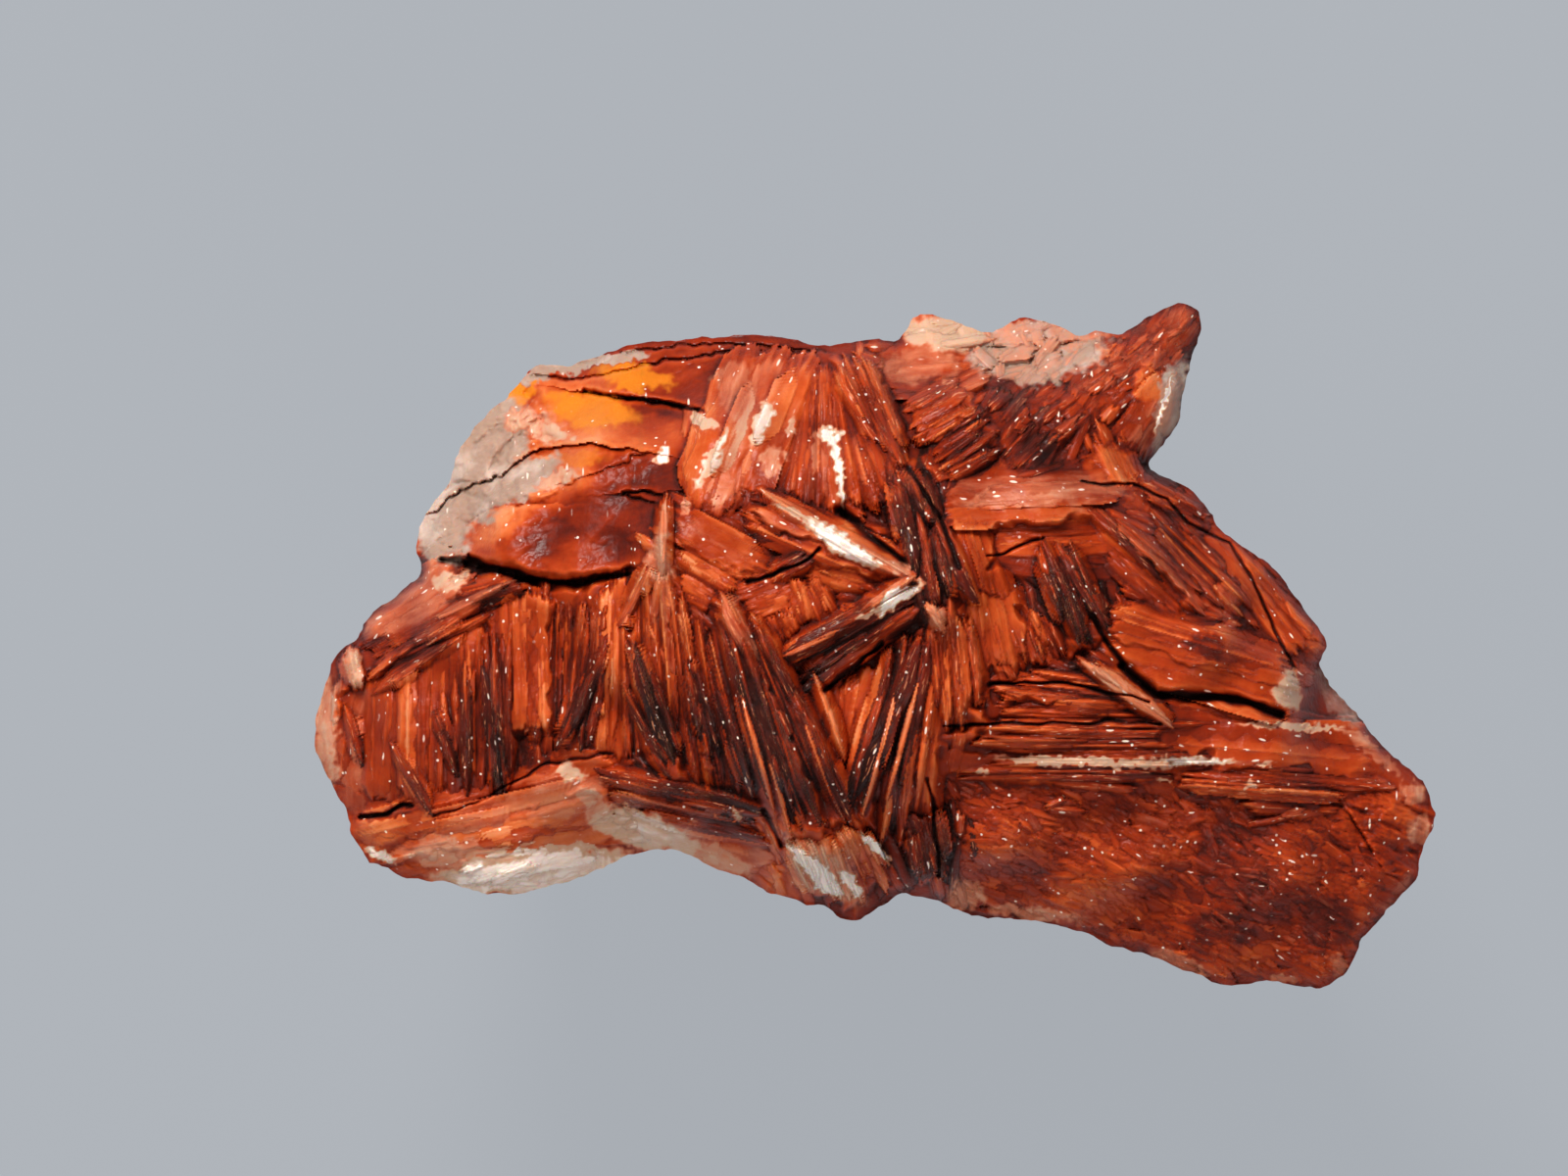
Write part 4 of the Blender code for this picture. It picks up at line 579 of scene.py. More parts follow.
def inside(x, y, outline, soft):
    """How far a place is inside an outline, from 0 to 1 over a soft border."""
    corners = np.array(outline)
    near = (x > corners[:, 0].min() - 1) & (x < corners[:, 0].max() + 1)
    near &= (y > corners[:, 1].min() - 1) & (y < corners[:, 1].max() + 1)
    result = np.zeros(np.shape(x))
    if near.any():
        result[near] = np.clip(0.5 + rim_distance(x[near], y[near], outline)[0] / soft, 0, 1)
    return result


def paint(x, y, tone, pale):
    """Layers of tone, paleness, yellowness and greyness at places on the face."""
    shift_x = 0.35 * FIELD.layered(x * 0.9, y * 0.9, 3.0, 3)
    shift_y = 0.35 * FIELD.layered(x * 0.9, y * 0.9, 9.0, 3)
    fray_x = 0.16 * FIELD.layered(x * 3.6, y * 3.6, 13.0, 2)
    fray_y = 0.16 * FIELD.layered(x * 3.6, y * 3.6, 19.0, 2)
    layers = {"tone": tone.copy(), "pale": pale.copy(), "yellow": np.zeros(x.shape),
              "grey": np.zeros(x.shape)}
    for px, py, rx, ry, angle, kind, strength in PATCHES:
        reach = 2.2 * max(rx, ry) + 0.6
        near = (np.abs(x - px) < reach) & (np.abs(y - py) < reach)
        if not near.any():
            continue
        turn = np.radians(angle)
        keep = min(1.0, min(rx, ry) / 0.5)
        dx = x[near] - px + shift_x[near] * keep + fray_x[near]
        dy = y[near] - py + shift_y[near] * keep + fray_y[near]
        a = (dx * np.cos(turn) + dy * np.sin(turn)) / rx
        b = (dy * np.cos(turn) - dx * np.sin(turn)) / ry
        amount = strength * np.clip(1.6 - 1.1 * (a * a + b * b), 0, 1)
        if kind in layers:
            layers[kind][near] = np.maximum(layers[kind][near], amount)
        else:
            goal = BRIGHT_TONE if kind == "bright" else DARK_TONE
            layers["tone"][near] += (goal - layers["tone"][near]) * amount
    return layers


def colour_layers(x, y, tone, pale, crest, grain, lines):
    """The layers of numbers that the material reads."""
    return {**paint(x, y, tone, pale), "crest": crest, "grain": grain, "lines": lines}


def even_outline(outline, count):
    """Places evenly along an outline."""
    points = np.concatenate((outline, outline[:1]))
    run = np.concatenate(((0,), np.cumsum(np.hypot(*np.diff(points, axis=0).T))))
    at = np.linspace(0, run[-1], count, endpoint=False)
    return np.stack((np.interp(at, run, points[:, 0]), np.interp(at, run, points[:, 1])), 1)


def smoothed(points, rounds):
    """A closed outline with its corners worn off."""
    for _ in range(rounds):
        points = (np.roll(points, 1, axis=0) + 2 * points + np.roll(points, -1, axis=0)) / 4
    return points


def fine_outline():
    """The outline at close spacing, its corners a little worn and its edge uneven."""
    x, y = smoothed(even_outline(OUTLINE, RIM_POINTS), 3).T
    shift_x = 0.08 * FIELD.layered(x * 1.3, y * 1.3, 40.0, 4, 0.7)
    shift_y = 0.08 * FIELD.layered(x * 1.3, y * 1.3, 60.0, 4, 0.7)
    return np.stack((x + shift_x, y + shift_y), 1)


RIM = fine_outline()


class Chart:
    """A smooth quantity worked out on a coarse grid and read between its points."""

    def __init__(self, quantity, step=0.2):
        self.step = step
        self.low_x, self.low_y = -24.0, -15.5
        axis_x = np.arange(self.low_x, 24.4, step)
        axis_y = np.arange(self.low_y, 15.6, step)
        self.values = quantity(*np.meshgrid(axis_x, axis_y, indexing="ij"))

    def __call__(self, x, y):
        a, b = (x - self.low_x) / self.step, (y - self.low_y) / self.step
        i = np.clip(a.astype(int), 0, self.values.shape[0] - 2)
        j = np.clip(b.astype(int), 0, self.values.shape[1] - 2)
        a, b, v = a - i, b - j, self.values
        low = v[i, j] * (1 - b) + v[i, j + 1] * b
        return low * (1 - a) + (v[i + 1, j] * (1 - b) + v[i + 1, j + 1] * b) * a


def blurred(values, radius):
    """The mean over a square neighbourhood."""
    for axis in (0, 1):
        margin = [(radius + 1, radius) if a == axis else (0, 0) for a in (0, 1)]
        total = np.cumsum(np.pad(values, margin, mode="edge"), axis)
        size = values.shape[axis]
        high = np.take(total, range(2 * radius + 1, size + 2 * radius + 1), axis)
        values = (high - np.take(total, range(size), axis)) / (2 * radius + 1)
    return values


class Face:
    """Heights and colours of the face on a fine grid, built up plate by plate."""

    def __init__(self):
        self.low_x, self.low_y = GRID_LOW
        axis_x = np.arange(self.low_x, GRID_HIGH[0], FACE_STEP)
        axis_y = np.arange(self.low_y, GRID_HIGH[1], FACE_STEP)
        self.x, self.y = np.meshgrid(axis_x, axis_y, indexing="ij")
        self.base = Chart(ground)(self.x, self.y)
        self.inward = Chart(lambda x, y: rim_distance(x, y, RIM)[0])(self.x, self.y)
        self.z = self.base + ledges(self.x, self.y)
        self.tone = np.full(self.x.shape, GROUND_TONE)
        self.pale = np.zeros(self.x.shape)
        self.grain = np.stack((3.0 * self.x, 0.2 * self.y, 0.0 * self.x), 2)
        self.lines = np.full(self.x.shape, GROUND_LINES)

    def add_masses(self):
        """The relief of the massive ground between the sheaves."""
        for outline, size, stretch, angle, rise, tilt, fine, tone, fibre in MASSES:
            window, x, y = self.around(outline, 0.5)
            wave = 0.3 * FIELD.layered(x * 0.7, y * 0.7, 5.0, 2)
            share = inside(x, y, outline, 0.8)
            large = plates(x + wave, y - wave, size, stretch, angle, tilt, 3) - 0.9
            small = plates(x - wave, y, size * 0.45, stretch, angle + 17, tilt, 8) - 0.9
            cos, sin = np.cos(np.radians(angle)), np.sin(np.radians(angle))
            along, across = x * cos + y * sin, y * cos - x * sin
            threads = np.abs(FIELD.layered(along * 0.45, across * 1.8 + wave, 7.0 + size, 4, 0.55))
            relief = rise * (large + 0.4 * small) + fibre * (0.5 - 1.6 * threads)
            self.z[window] += share * (relief + fine * FIELD.layered(x * 1.6, y * 1.6, 2.0, 5, 0.6))
            tone = tone + 0.12 * FIELD.layered(along * 0.35, across * 0.8, 3.3, 4, 0.6)
            self.tone[window] += share * (tone - self.tone[window])

    def body(self, row):
        """The joined mass that the blades of a sheaf stand on, with a soft border."""
        root, tip, lift_root, lift_tip, blades, shape, tone, pale = row
        outline = [root[:2], root[2:], tip[2:], tip[:2]]
        corners = np.array(outline)
        window, x, y = self.around(outline, 1.2)
        waver = 0.35 * FIELD.layered(x * 1.1, y * 1.1, 12.0 + lift_tip, 2)
        gap = rim_distance(x, y, outline)[0] + waver - 0.35
        foot, top = (corners[0] + corners[1]) / 2, (corners[2] + corners[3]) / 2
        run = top - foot
        v = np.clip(((x - foot[0]) * run[0] + (y - foot[1]) * run[1]) / (run @ run), 0, 1)
        lift = lift_root + (lift_tip - lift_root) * v - BODY_DEPTH
        z = self.base[window] + lift + 0.12 * np.clip(gap, 0, 1) + 1.5 * np.minimum(gap, 0)
        share = np.clip(0.5 + gap / 0.4, 0, 1)
        lower = self.z[window] + (np.minimum(self.z[window], z) - self.z[window]) * share
        self.z[window] = np.maximum(lower, z)
        self.tone[window] += share * (0.25 + 0.55 * tone - self.tone[window])

    def window(self, low, high):
        """The part of the grid between two corners."""
        starts = [int((at - edge) / FACE_STEP) for at, edge in zip(low, GRID_LOW)]
        ends = [int((at - edge) / FACE_STEP) + 1 for at, edge in zip(high, GRID_LOW)]
        return tuple(slice(max(0, start), max(0, end)) for start, end in zip(starts, ends))

    def around(self, points, margin):
        """The part of the grid around some points, and its places."""
        corners = np.array(points)
        window = self.window(corners.min(0) - margin, corners.max(0) + margin)
        return window, self.x[window], self.y[window]

    def undergrowth(self, count, rng):
        """Small blades between the sheaves, which follow the direction of those around them."""
        roots = np.array([row[0] for row in SHEAVES])
        tips = np.array([row[1] for row in SHEAVES])
        tones = np.array([row[6] for row in SHEAVES])
        root_sums, tip_sums = roots[:, :2] + roots[:, 2:], tips[:, :2] + tips[:, 2:]
        middles = (root_sums + tip_sums) / 4
        turns = np.arctan2(*(tip_sums - root_sums).T[::-1])
        spots = rng.uniform((-21.5, -9.5), (17.5, 12.5), (count, 2))
        for spot in spots:
            gap = np.sum((middles - spot) ** 2, 1)
            if gap.min() > 4.0:
                continue
            weight = 1 / (gap + 0.4) ** 2
            turn = 0.5 * np.arctan2((weight * np.sin(2 * turns)).sum(), (weight * np.cos(2 * turns)).sum())
            turn += 0.18 * rng.normal()
            half = rng.uniform(0.5, 1.5) * np.array((np.cos(turn), np.sin(turn)))
            tone = (weight * tones).sum() / weight.sum()
            self.plate(spot - half, spot + half, rng.uniform(0.25, 0.5), 0.15 + 0.15 * rng.normal(),
                       0.1 * rng.normal(), COMB, tone + 0.08 * rng.normal(), 0.3 * rng.random() ** 3, rng)

    def plate(self, start, end, width, lift, slope, shape, tone, pale, rng, ridge=None):
        """Lay one plate on the face, a long lens or a slab; it shows where it is the highest."""
        run_x, run_y = end[0] - start[0], end[1] - start[1]
        length = np.hypot(run_x, run_y)
        cos, sin = run_x / length, run_y / length
        half_l, half_w = length / 2, width / 2
        soft, point = shape["soft"], shape["point"]
        x, y = (start[0] + end[0]) / 2, (start[1] + end[1]) / 2
        reach_x = abs(half_l * cos) + abs(half_w * sin) + 0.25 + soft
        reach_y = abs(half_l * sin) + abs(half_w * cos) + 0.25 + soft
        window = self.window((x - reach_x, y - reach_y), (x + reach_x, y + reach_y))
        dx, dy = self.x[window] - x, self.y[window] - y
        a = (dx * cos + dy * sin) / half_l
        phases = rng.uniform(0, 6.28, 4)
        shifts = phases / 3.14 - 1
        waver = 0.08 * np.sin(a * half_l * 1.1 + phases[0]) + 0.05 * np.sin(a * half_l * 3.1 + phases[1])
        waver = waver * (1 + 3 * soft)
        b = (dy * cos - dx * sin) / half_w + waver
        skew = a + 0.5 * (1 - point) * shifts[2] * b * half_w / half_l
        skew = skew + 0.05 / half_l * np.sign(np.sin(6 * b + phases[0]))
        ends = np.clip(np.abs(skew), 0, 1)
        outline = np.clip((1 - ends) / (0.06 + 0.62 * point), 0, 1) ** 0.85
        b = b - 0.8 * shifts[1] * (1 - outline)
        over = np.maximum(np.abs(b) - outline, 0) * half_w + np.maximum(np.abs(skew) - 1, 0) * half_l
        across = np.clip(np.abs(b) / np.maximum(outline, 0.05), 0, 1)
        ridge = shape["ridge"] if ridge is None else ridge
        lean = shape["lean"] * shifts[3]
        top = lift + slope * a + lean * b + ridge * outline * (1 - across ** 1.2)
        top = top - (0.1 + 0.3 * point) * ends ** 4 + 0.02 * np.sin(a * half_l * 5.3 + phases[1] * 3)
        z = self.base[window] + top - WALL / (1 + 9 * soft) * over
        higher = (z > self.z[window]) & (over < 0.35 + soft)
        self.z[window] = np.where(higher, z, self.z[window])
        on_top = higher & (over < 0.04 + soft)
        share = np.clip(1 - over / (0.04 + soft), 0, 1) * on_top
        share = np.where(over < 0.04, on_top, share)
        self.tone[window] += share * (tone - shape["fade"] * a - self.tone[window])
        self.pale[window] += share * (pale - self.pale[window])
        self.lines[window] += share * (shape["lines"] - self.lines[window])
        grain = np.stack((a * half_l, b * half_w, np.full(a.shape, rng.uniform(0, 9))), 2)
        self.grain[window] = np.where(on_top[..., None], grain, self.grain[window])

    def sheaf(self, row, rng):
        """All the plates of one sheaf, and the fine laminae on them."""
        root, tip, lift_root, lift_tip, blades, shape, tone, pale = row
        root_a, root_b, tip_a, tip_b = (np.array(p) for p in (root[:2], root[2:], tip[:2], tip[2:]))
        self.body(row)
        length = np.hypot(*((tip_a + tip_b - root_a - root_b) / 2))
        for count in range(blades * shape["repeat"]):
            u = (count % blades + 0.5 + 0.18 * rng.normal()) / blades
            v0 = (1 - shape["share"]) * rng.random() + shape["stagger"] * 0.5 * rng.random()
            v1 = v0 + shape["share"] * (1 - shape["stagger"] * rng.random() ** 1.5)
            start = root_a + (root_b - root_a) * u
            end = tip_a + (tip_b - tip_a) * (u + 0.04 * rng.normal())
            start, end = start + (end - start) * v0, start + (end - start) * min(v1, 1.04)
            at = (v0 + v1) / 2
            spacing = np.hypot(*((root_b - root_a) * (1 - at) + (tip_b - tip_a) * at)) / blades
            width = spacing * shape["wide"] * rng.uniform(0.8, 1.15)
            lift = lift_root + (lift_tip - lift_root) * at + shape["step"] * rng.normal()
            slope = (lift_tip - lift_root) * (v1 - v0) / 2 + 0.5 * shape["step"] * rng.normal()
            own_tone = tone + 0.08 * rng.normal()
            own_pale = SHEAF_PALE * pale * rng.uniform(0.4, 1.5)
            self.plate(start, end, width, lift, slope, shape, own_tone, own_pale, rng)
            side = np.array((start[1] - end[1], end[0] - start[0])) / max(length, 0.1)
            for _ in range(shape["fine"]):
                share = rng.uniform(0.25, 0.95)
                begin = rng.uniform(0, 1 - share)
                offset = side * width * rng.uniform(-0.42, 0.42)
                low = start + (end - start) * begin + offset
                high = start + (end - start) * (begin + share) + offset * 0.8
                middle = begin + share / 2
                rise = lift + slope * (2 * middle - 1) + shape["fine_lift"] * rng.normal()
                rise += shape["ridge"] * (0.8 - 3.0 * np.hypot(*offset) ** 2 / width ** 2)
                # A lamina with a thin bright edge gets a lighter tone: a painted highlight.
                bright = rng.random() < EDGE_SHARE
                thin = rng.uniform(0.06, 0.1) if bright else rng.uniform(0.09, 0.17)
                fine_tone = own_tone + 0.06 * rng.normal() + (rng.uniform(0.1, 0.25) if bright else 0.0)
                fine_pale = own_pale * rng.uniform(0.5, 1.5)
                self.plate(low, high, thin, rise + 0.04 * bright, slope * share, shape, fine_tone, fine_pale,
                           rng, ridge=0.05)

    def single_blades(self, rng):
        """The blades that stand out, each with fine laminae along it."""
        for x0, y0, x1, y1, width, lift, tone, pale, point in BLADES:
            shape = dict(LENS, point=point, ridge=0.16 * width + 0.05, lines=0.55)
            start, end = np.array((x0, y0)), np.array((x1, y1))
            lift = lift * BLADE_LIFT
            self.plate(start, end, width, lift, 0.0, shape, tone, pale, rng)
            side = np.array((y0 - y1, x1 - x0)) / np.hypot(x1 - x0, y1 - y0)
            for _ in range(int(width * 14)):
                share = rng.uniform(0.2, 0.7)
                begin = rng.uniform(0.02, 0.98 - share)
                middle = begin + share / 2
                room = 1 - abs(2 * middle - 1) ** 3
                offset = side * width * rng.uniform(-0.42, 0.42) * room
                rise = lift + shape["ridge"] * (0.85 - 2.6 * np.hypot(*offset) / width) + 0.03 * rng.normal()
                # A lamina with a thin bright edge gets a lighter tone: a painted highlight.
                bright = rng.random() < EDGE_SHARE
                own = tone + (rng.uniform(0.10, 0.28) if bright else rng.uniform(-0.05, 0.05))
                low = start + (end - start) * begin + offset
                high = start + (end - start) * (begin + share) + offset
                thin = rng.uniform(0.06, 0.1) if bright else rng.uniform(0.08, 0.16)
                slope = 0.02 * rng.normal()
                self.plate(low, high, thin, rise + 0.03 * bright, slope, shape, own,
                           pale * rng.uniform(0.5, 1.4), rng, ridge=0.06)

    def open_gaps(self):
        """Deep gaps where plates part, darkened and made less pale with painted shade."""
        for route, depth, width in GAPS:
            window, x, y = self.around(route, 1.0)
            waver = 0.12 * FIELD.layered(x * 0.9, y * 0.9, 17.0, 2)
            spread = width * (1 + 0.8 * FIELD.layered(x * 0.8, y * 0.8, 23.0, 2))
            gap = segment_side(x + waver, y - waver, route)[0]
            dip = np.exp(-(gap / np.maximum(spread, 0.05)) ** 2)
            self.z[window] -= depth * dip
            # Painted shade: the gap's tone falls towards the dark and its paleness goes.
            self.tone[window] += (GAP_SHADE_TONE - self.tone[window]) * dip * min(1.0, 0.3 + 0.6 * depth)
            self.pale[window] *= 1 - dip * min(1.0, depth + 0.2)

    def flakes(self, outline, count, angle, spread, size, rise, tone, rng):
        """Small plates crowded over the massive ground."""
        corners = np.array(outline)
        spots = rng.uniform(corners.min(0), corners.max(0), (count * 3, 2))
        shares = inside(spots[:, 0], spots[:, 1], outline, 0.4)
        for spot in spots[shares > rng.uniform(0.2, 0.8, len(shares))][:count]:
            turn = np.radians(angle + spread * rng.normal())
            length = size * rng.uniform(0.6, 1.6)
            half = 0.5 * length * np.array((np.cos(turn), np.sin(turn)))
            lift = rise * rng.normal() * 0.5 + 0.25 * rise
            self.plate(spot - half, spot + half, length * rng.uniform(0.16, 0.34), lift, rise * rng.normal(),
                       SCALE, tone + 0.07 * rng.normal(), 0.25 * rng.random() ** 3, rng)

    def pieces(self, material):
        """Cut the grid along the outline and hand it out as meshes."""
        steadied = RIM_RELIEF + (1 - RIM_RELIEF) * np.clip(self.inward / RIM_STEADY, 0, 1)
        self.z = self.base + (self.z - self.base) * steadied
        near = np.abs(self.inward) < 0.5
        exact, foot = rim_distance(self.x[near], self.y[near], RIM)
        self.inward[near] = exact
        kept = self.inward > 0
        # The crest layer: how far a place stands above or sinks below its neighbours. The material paints
        # light on the crests and shade in the hollows from it.
        crest = 0.55 + 2.4 * (self.z - blurred(self.z, 4)) + 0.5 * (self.z - blurred(self.z, 18))
        outside = np.zeros(self.x.shape, bool)
        outside[near] = exact <= 0
        self.x[outside] = foot[exact <= 0, 0]
        self.y[outside] = foot[exact <= 0, 1]
        cells = kept[:-1, :-1] | kept[1:, :-1] | kept[:-1, 1:] | kept[1:, 1:]
        columns = np.cumsum(cells.sum(1))
        shares = columns[-1] * np.arange(1, FACE_PIECES) / FACE_PIECES
        cuts = [0, *np.searchsorted(columns, shares), len(columns)]
        made = []
        for number, (low, high) in enumerate(zip(cuts, cuts[1:])):
            own = np.zeros(cells.shape, bool)
            own[low:high] = cells[low:high]
            used = np.zeros(self.x.shape, bool)
            for step_a in (0, 1):
                for step_b in (0, 1):
                    used[step_a:used.shape[0] - 1 + step_a, step_b:used.shape[1] - 1 + step_b] |= own
            index = np.full(self.x.shape, -1)
            index[used] = np.arange(used.sum())
            quads = np.stack((index[:-1, :-1], index[1:, :-1], index[1:, 1:], index[:-1, 1:]), 2)[own]
            x, y, z = self.x[used], self.y[used], self.z[used]
            layers = colour_layers(x, y, self.tone[used], self.pale[used], np.clip(crest[used], 0, 1),
                                   self.grain[used], self.lines[used])
            rim = (self.inward[used] < 0.6) & (self.inward[used] > -1)
            verts, quads, layers = with_skirt(np.stack((x, y, z), 1), quads, layers, rim)
            made.append(dress(mesh_of("face_%d" % number, verts, quads), layers, material, 60))
        return made


def with_skirt(verts, quads, layers, rim):
    """Turn the free border at the rim down, so that it closes on the sides."""
    edges = np.concatenate([quads[:, (k, (k + 1) % 4)] for k in range(4)])
    names = edges.min(1).astype(np.int64) * len(verts) + edges.max(1)
    _, first, count = np.unique(names, return_index=True, return_counts=True)
    border = edges[first[count == 1]]
    border = border[rim[border].all(1)]
    ends, order = np.unique(border, return_inverse=True)
    low = verts[ends] * (0.997, 0.997, 1.0) - (0, 0, SKIRT)
    order = order.reshape(-1, 2) + len(verts)
    band = np.stack((border[:, 1], border[:, 0], order[:, 0], order[:, 1]), 1)
    layers = {key: np.concatenate((values, values[ends])) for key, values in layers.items()}
    return np.concatenate((verts, low)), np.concatenate((quads, band)), layers


def dress(mesh, layers, material, sharp):
    """Make a mesh a piece: its layers, its material and its body."""
    for key, values in layers.items():
        values = np.asarray(values, dtype=np.float32)
        kind = "FLOAT" if values.ndim == 1 else "FLOAT_VECTOR"
        layer = mesh.attributes.new(key, kind, "POINT")
        layer.data.foreach_set("value" if kind == "FLOAT" else "vector", values.ravel())
    mesh.materials.append(material)
    mesh.shade_smooth()
    mesh.set_sharp_from_angle(angle=np.radians(sharp))
    made = bpy.data.objects.new(mesh.name, mesh)
    bpy.context.scene.collection.objects.link(made)
    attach(made, "root")
    return made


def grow_flanks(face):
    """The sides of the stone, from the flat cut up to the rim."""
    outline = even_outline(RIM, FLANK_COLUMNS)
    spread = (FLANK_COLUMNS / 66) ** 2 / 4
    levels = [row[0] for row in FLANK_LEVELS]
    rings = np.array([smoothed(outline, int(rounds * spread)) * size + (shift_x, shift_y)
                      for _, size, shift_x, shift_y, rounds in FLANK_LEVELS])
    rows = RIM_LEVEL * np.linspace(0, 1, FLANK_ROWS)
    place = np.empty((FLANK_ROWS, FLANK_COLUMNS, 2))
    for column in range(FLANK_COLUMNS):
        for axis in (0, 1):
            place[:, column, axis] = np.interp(rows, levels, rings[:, column, axis])
    x, y = place[..., 0], place[..., 1]
    angle = np.arctan2(2 * y, x)
    sag = 0.17 * (0.5 + 0.5 * np.sin(3 * angle + 0.6) * np.cos(2 * angle))
    z = rows[:, None] * (1 - sag)
    share = rows[:, None] / RIM_LEVEL
    run = np.arange(FLANK_COLUMNS)[None, :] * GIRTH / FLANK_COLUMNS + 0 * z
    broken = np.clip(share / 0.02, 0, 1)
    bite = 1.1 - 1.3 * plates(run, z * 1.1, 4.2, 1.3, 20, 1.6, 12)
    bite = bite - 0.45 * plates(run, z, 1.5, 1.7, -15, 1.6, 14)
    bite = bite + 0.25 * FIELD.layered(run * 0.5, z * 0.5, 4.0, 5, 0.55) + 1.2
    bite = bite + 0.12 * FIELD.layered(run * 1.4, z * 1.4, 9.0, 3, 0.6)
    radius = np.hypot(x, y)
    push = 1 - broken * np.clip(bite, 0.05, 2.2) / radius
    x, y = x * push, y * push
    i = np.clip(((outline[:, 0] - face.low_x) / FACE_STEP).astype(int), 0, face.z.shape[0] - 1)
    j = np.clip(((outline[:, 1] - face.low_y) / FACE_STEP).astype(int), 0, face.z.shape[1] - 1)
    rim = face.z[i, j] - 0.25
    lip = np.linspace(0, 1, LIP_ROWS)[1:, None]
    worn = 0.7 * FIELD.layered(run[0] * 0.6, 4 * lip, 3.0, 4, 0.6) + 0.2
    shrink = 1 - np.clip(worn, -0.1, 0.8) * np.sin(np.pi * lip) / radius[-1:]
    spread_out = lip ** 1.4
    lip_x = (x[-1:] + (0.995 * outline[None, :, 0] - x[-1:]) * spread_out) * shrink
    lip_y = (y[-1:] + (0.995 * outline[None, :, 1] - y[-1:]) * spread_out) * shrink
    lip_z = z[-1:] + (rim[None, :] - z[-1:]) * lip
    x, y, z = (np.concatenate(pair) for pair in ((x, lip_x), (y, lip_y), (z, lip_z)))
    count_rows = x.shape[0]
    index = np.arange(count_rows * FLANK_COLUMNS).reshape(count_rows, FLANK_COLUMNS)
    nxt = np.roll(index, -1, 1)
    faces = np.stack((index[:-1], nxt[:-1], nxt[1:], index[1:]), 2).reshape(-1, 4).tolist()
    faces.append(index[0][::-1].tolist())
    x, y, z = x.ravel(), y.ravel(), z.ravel()
    drift = FIELD.layered(x * 0.12, y * 0.12, z * 0.12, 4)
    # Deeper bites in the sides get a lower crest layer: painted shade in the hollows.
    hollow = np.concatenate((bite, bite[-1:] + (1.2 - bite[-1:]) * lip)).ravel()
    tone = 0.42 + 0.35 * drift
    pale = np.clip(0.28 + 0.75 * FIELD.layered(x * 0.1, y * 0.1, z * 0.14 + 20, 4), 0, 0.9)
    grain = np.stack((x + y, z, np.zeros(x.shape)), 1)
    layers = {"tone": tone, "pale": pale, "yellow": np.clip(drift - 0.35, 0, 1),
              "grey": np.clip(-drift, 0, 0.7),
              "crest": np.clip(0.58 - 0.16 * (hollow - 1.2), 0.3, 0.9), "grain": grain,
              "lines": np.full(x.shape, 0.15)}
    return np.stack((x, y, z), 1), faces, layers


class Wire:
    """A socket that takes part in sums, each of which adds a Math node."""

    def __init__(self, shading, socket):
        self.shading, self.socket = shading, socket

    def maths(self, operation, a, b):
        return self.shading.node("ShaderNodeMath", {"operation": operation}, {0: a, 1: b})

    def __add__(self, other):
        return self.maths("ADD", self, other)

    def __sub__(self, other):
        return self.maths("SUBTRACT", self, other)

    def __rsub__(self, other):
        return self.maths("SUBTRACT", other, self)

    def __mul__(self, other):
        return self.maths("MULTIPLY", self, other)

    __radd__, __rmul__ = __add__, __mul__

    def above(self, low, high):
        """0 below one value, 1 above another, and smooth between them."""
        settings = {"interpolation_type": "SMOOTHSTEP"}
        sockets = {"Value": self, "From Min": low, "From Max": high}
        return self.shading.node("ShaderNodeMapRange", settings, sockets)


class Shading:
    """The node tree of one material."""

    def __init__(self, name):
        self.material = bpy.data.materials.new(name)
        self.material.use_nodes = True
        self.tree = self.material.node_tree
        self.shader = self.tree.nodes["Principled BSDF"]

    def node(self, kind, settings, sockets, output=0):
        """Add a node: its settings first, then the values or links of its sockets."""
        made = self.tree.nodes.new(kind)
        for key, value in settings.items():
            if key == "stops":
                fill_ramp(made.color_ramp, value)
            else:
                setattr(made, key, value)
        for key, value in sockets.items():
            self.feed(made.inputs[key], value)
        return Wire(self, made.outputs[output])

    def feed(self, socket, value):
        if isinstance(value, Wire):
            self.tree.links.new(value.socket, socket)
        else:
            socket.default_value = value

    def finish(self, values):
        """Feed the shader's own sockets."""
        for name, value in values.items():
            self.feed(self.shader.inputs[name], value)
        return self.material

    def layer(self, name, output="Fac"):
        return self.node("ShaderNodeAttribute", {"attribute_name": name}, {}, output)

    def places(self):
        return self.node("ShaderNodeTexCoord", {}, {}, "Object")

    def noise(self, vector, scale, detail=3.0, rough=0.55):
        sockets = {"Vector": vector, "Scale": scale, "Detail": detail, "Roughness": rough}
        return self.node("ShaderNodeTexNoise", {}, sockets, "Fac")

    def cells(self, vector, scale, output):
        return self.node("ShaderNodeTexVoronoi", {}, {"Vector": vector, "Scale": scale}, output)

    def stretch(self, vector, sizes):
        return self.node("ShaderNodeVectorMath", {"operation": "MULTIPLY"}, {0: vector, 1: sizes}, "Vector")

    def mix(self, factor, a, b):
        return self.node("ShaderNodeMix", {"data_type": "RGBA"}, {0: factor, 6: a, 7: b}, 2)


def fill_ramp(ramp, stops):
    """Set a colour ramp's stops."""
    while len(ramp.elements) < len(stops):
        ramp.elements.new(0.5)
    for element, (place, colour) in zip(ramp.elements, stops):
        element.position = place
        element.color = colour + (1.0,)
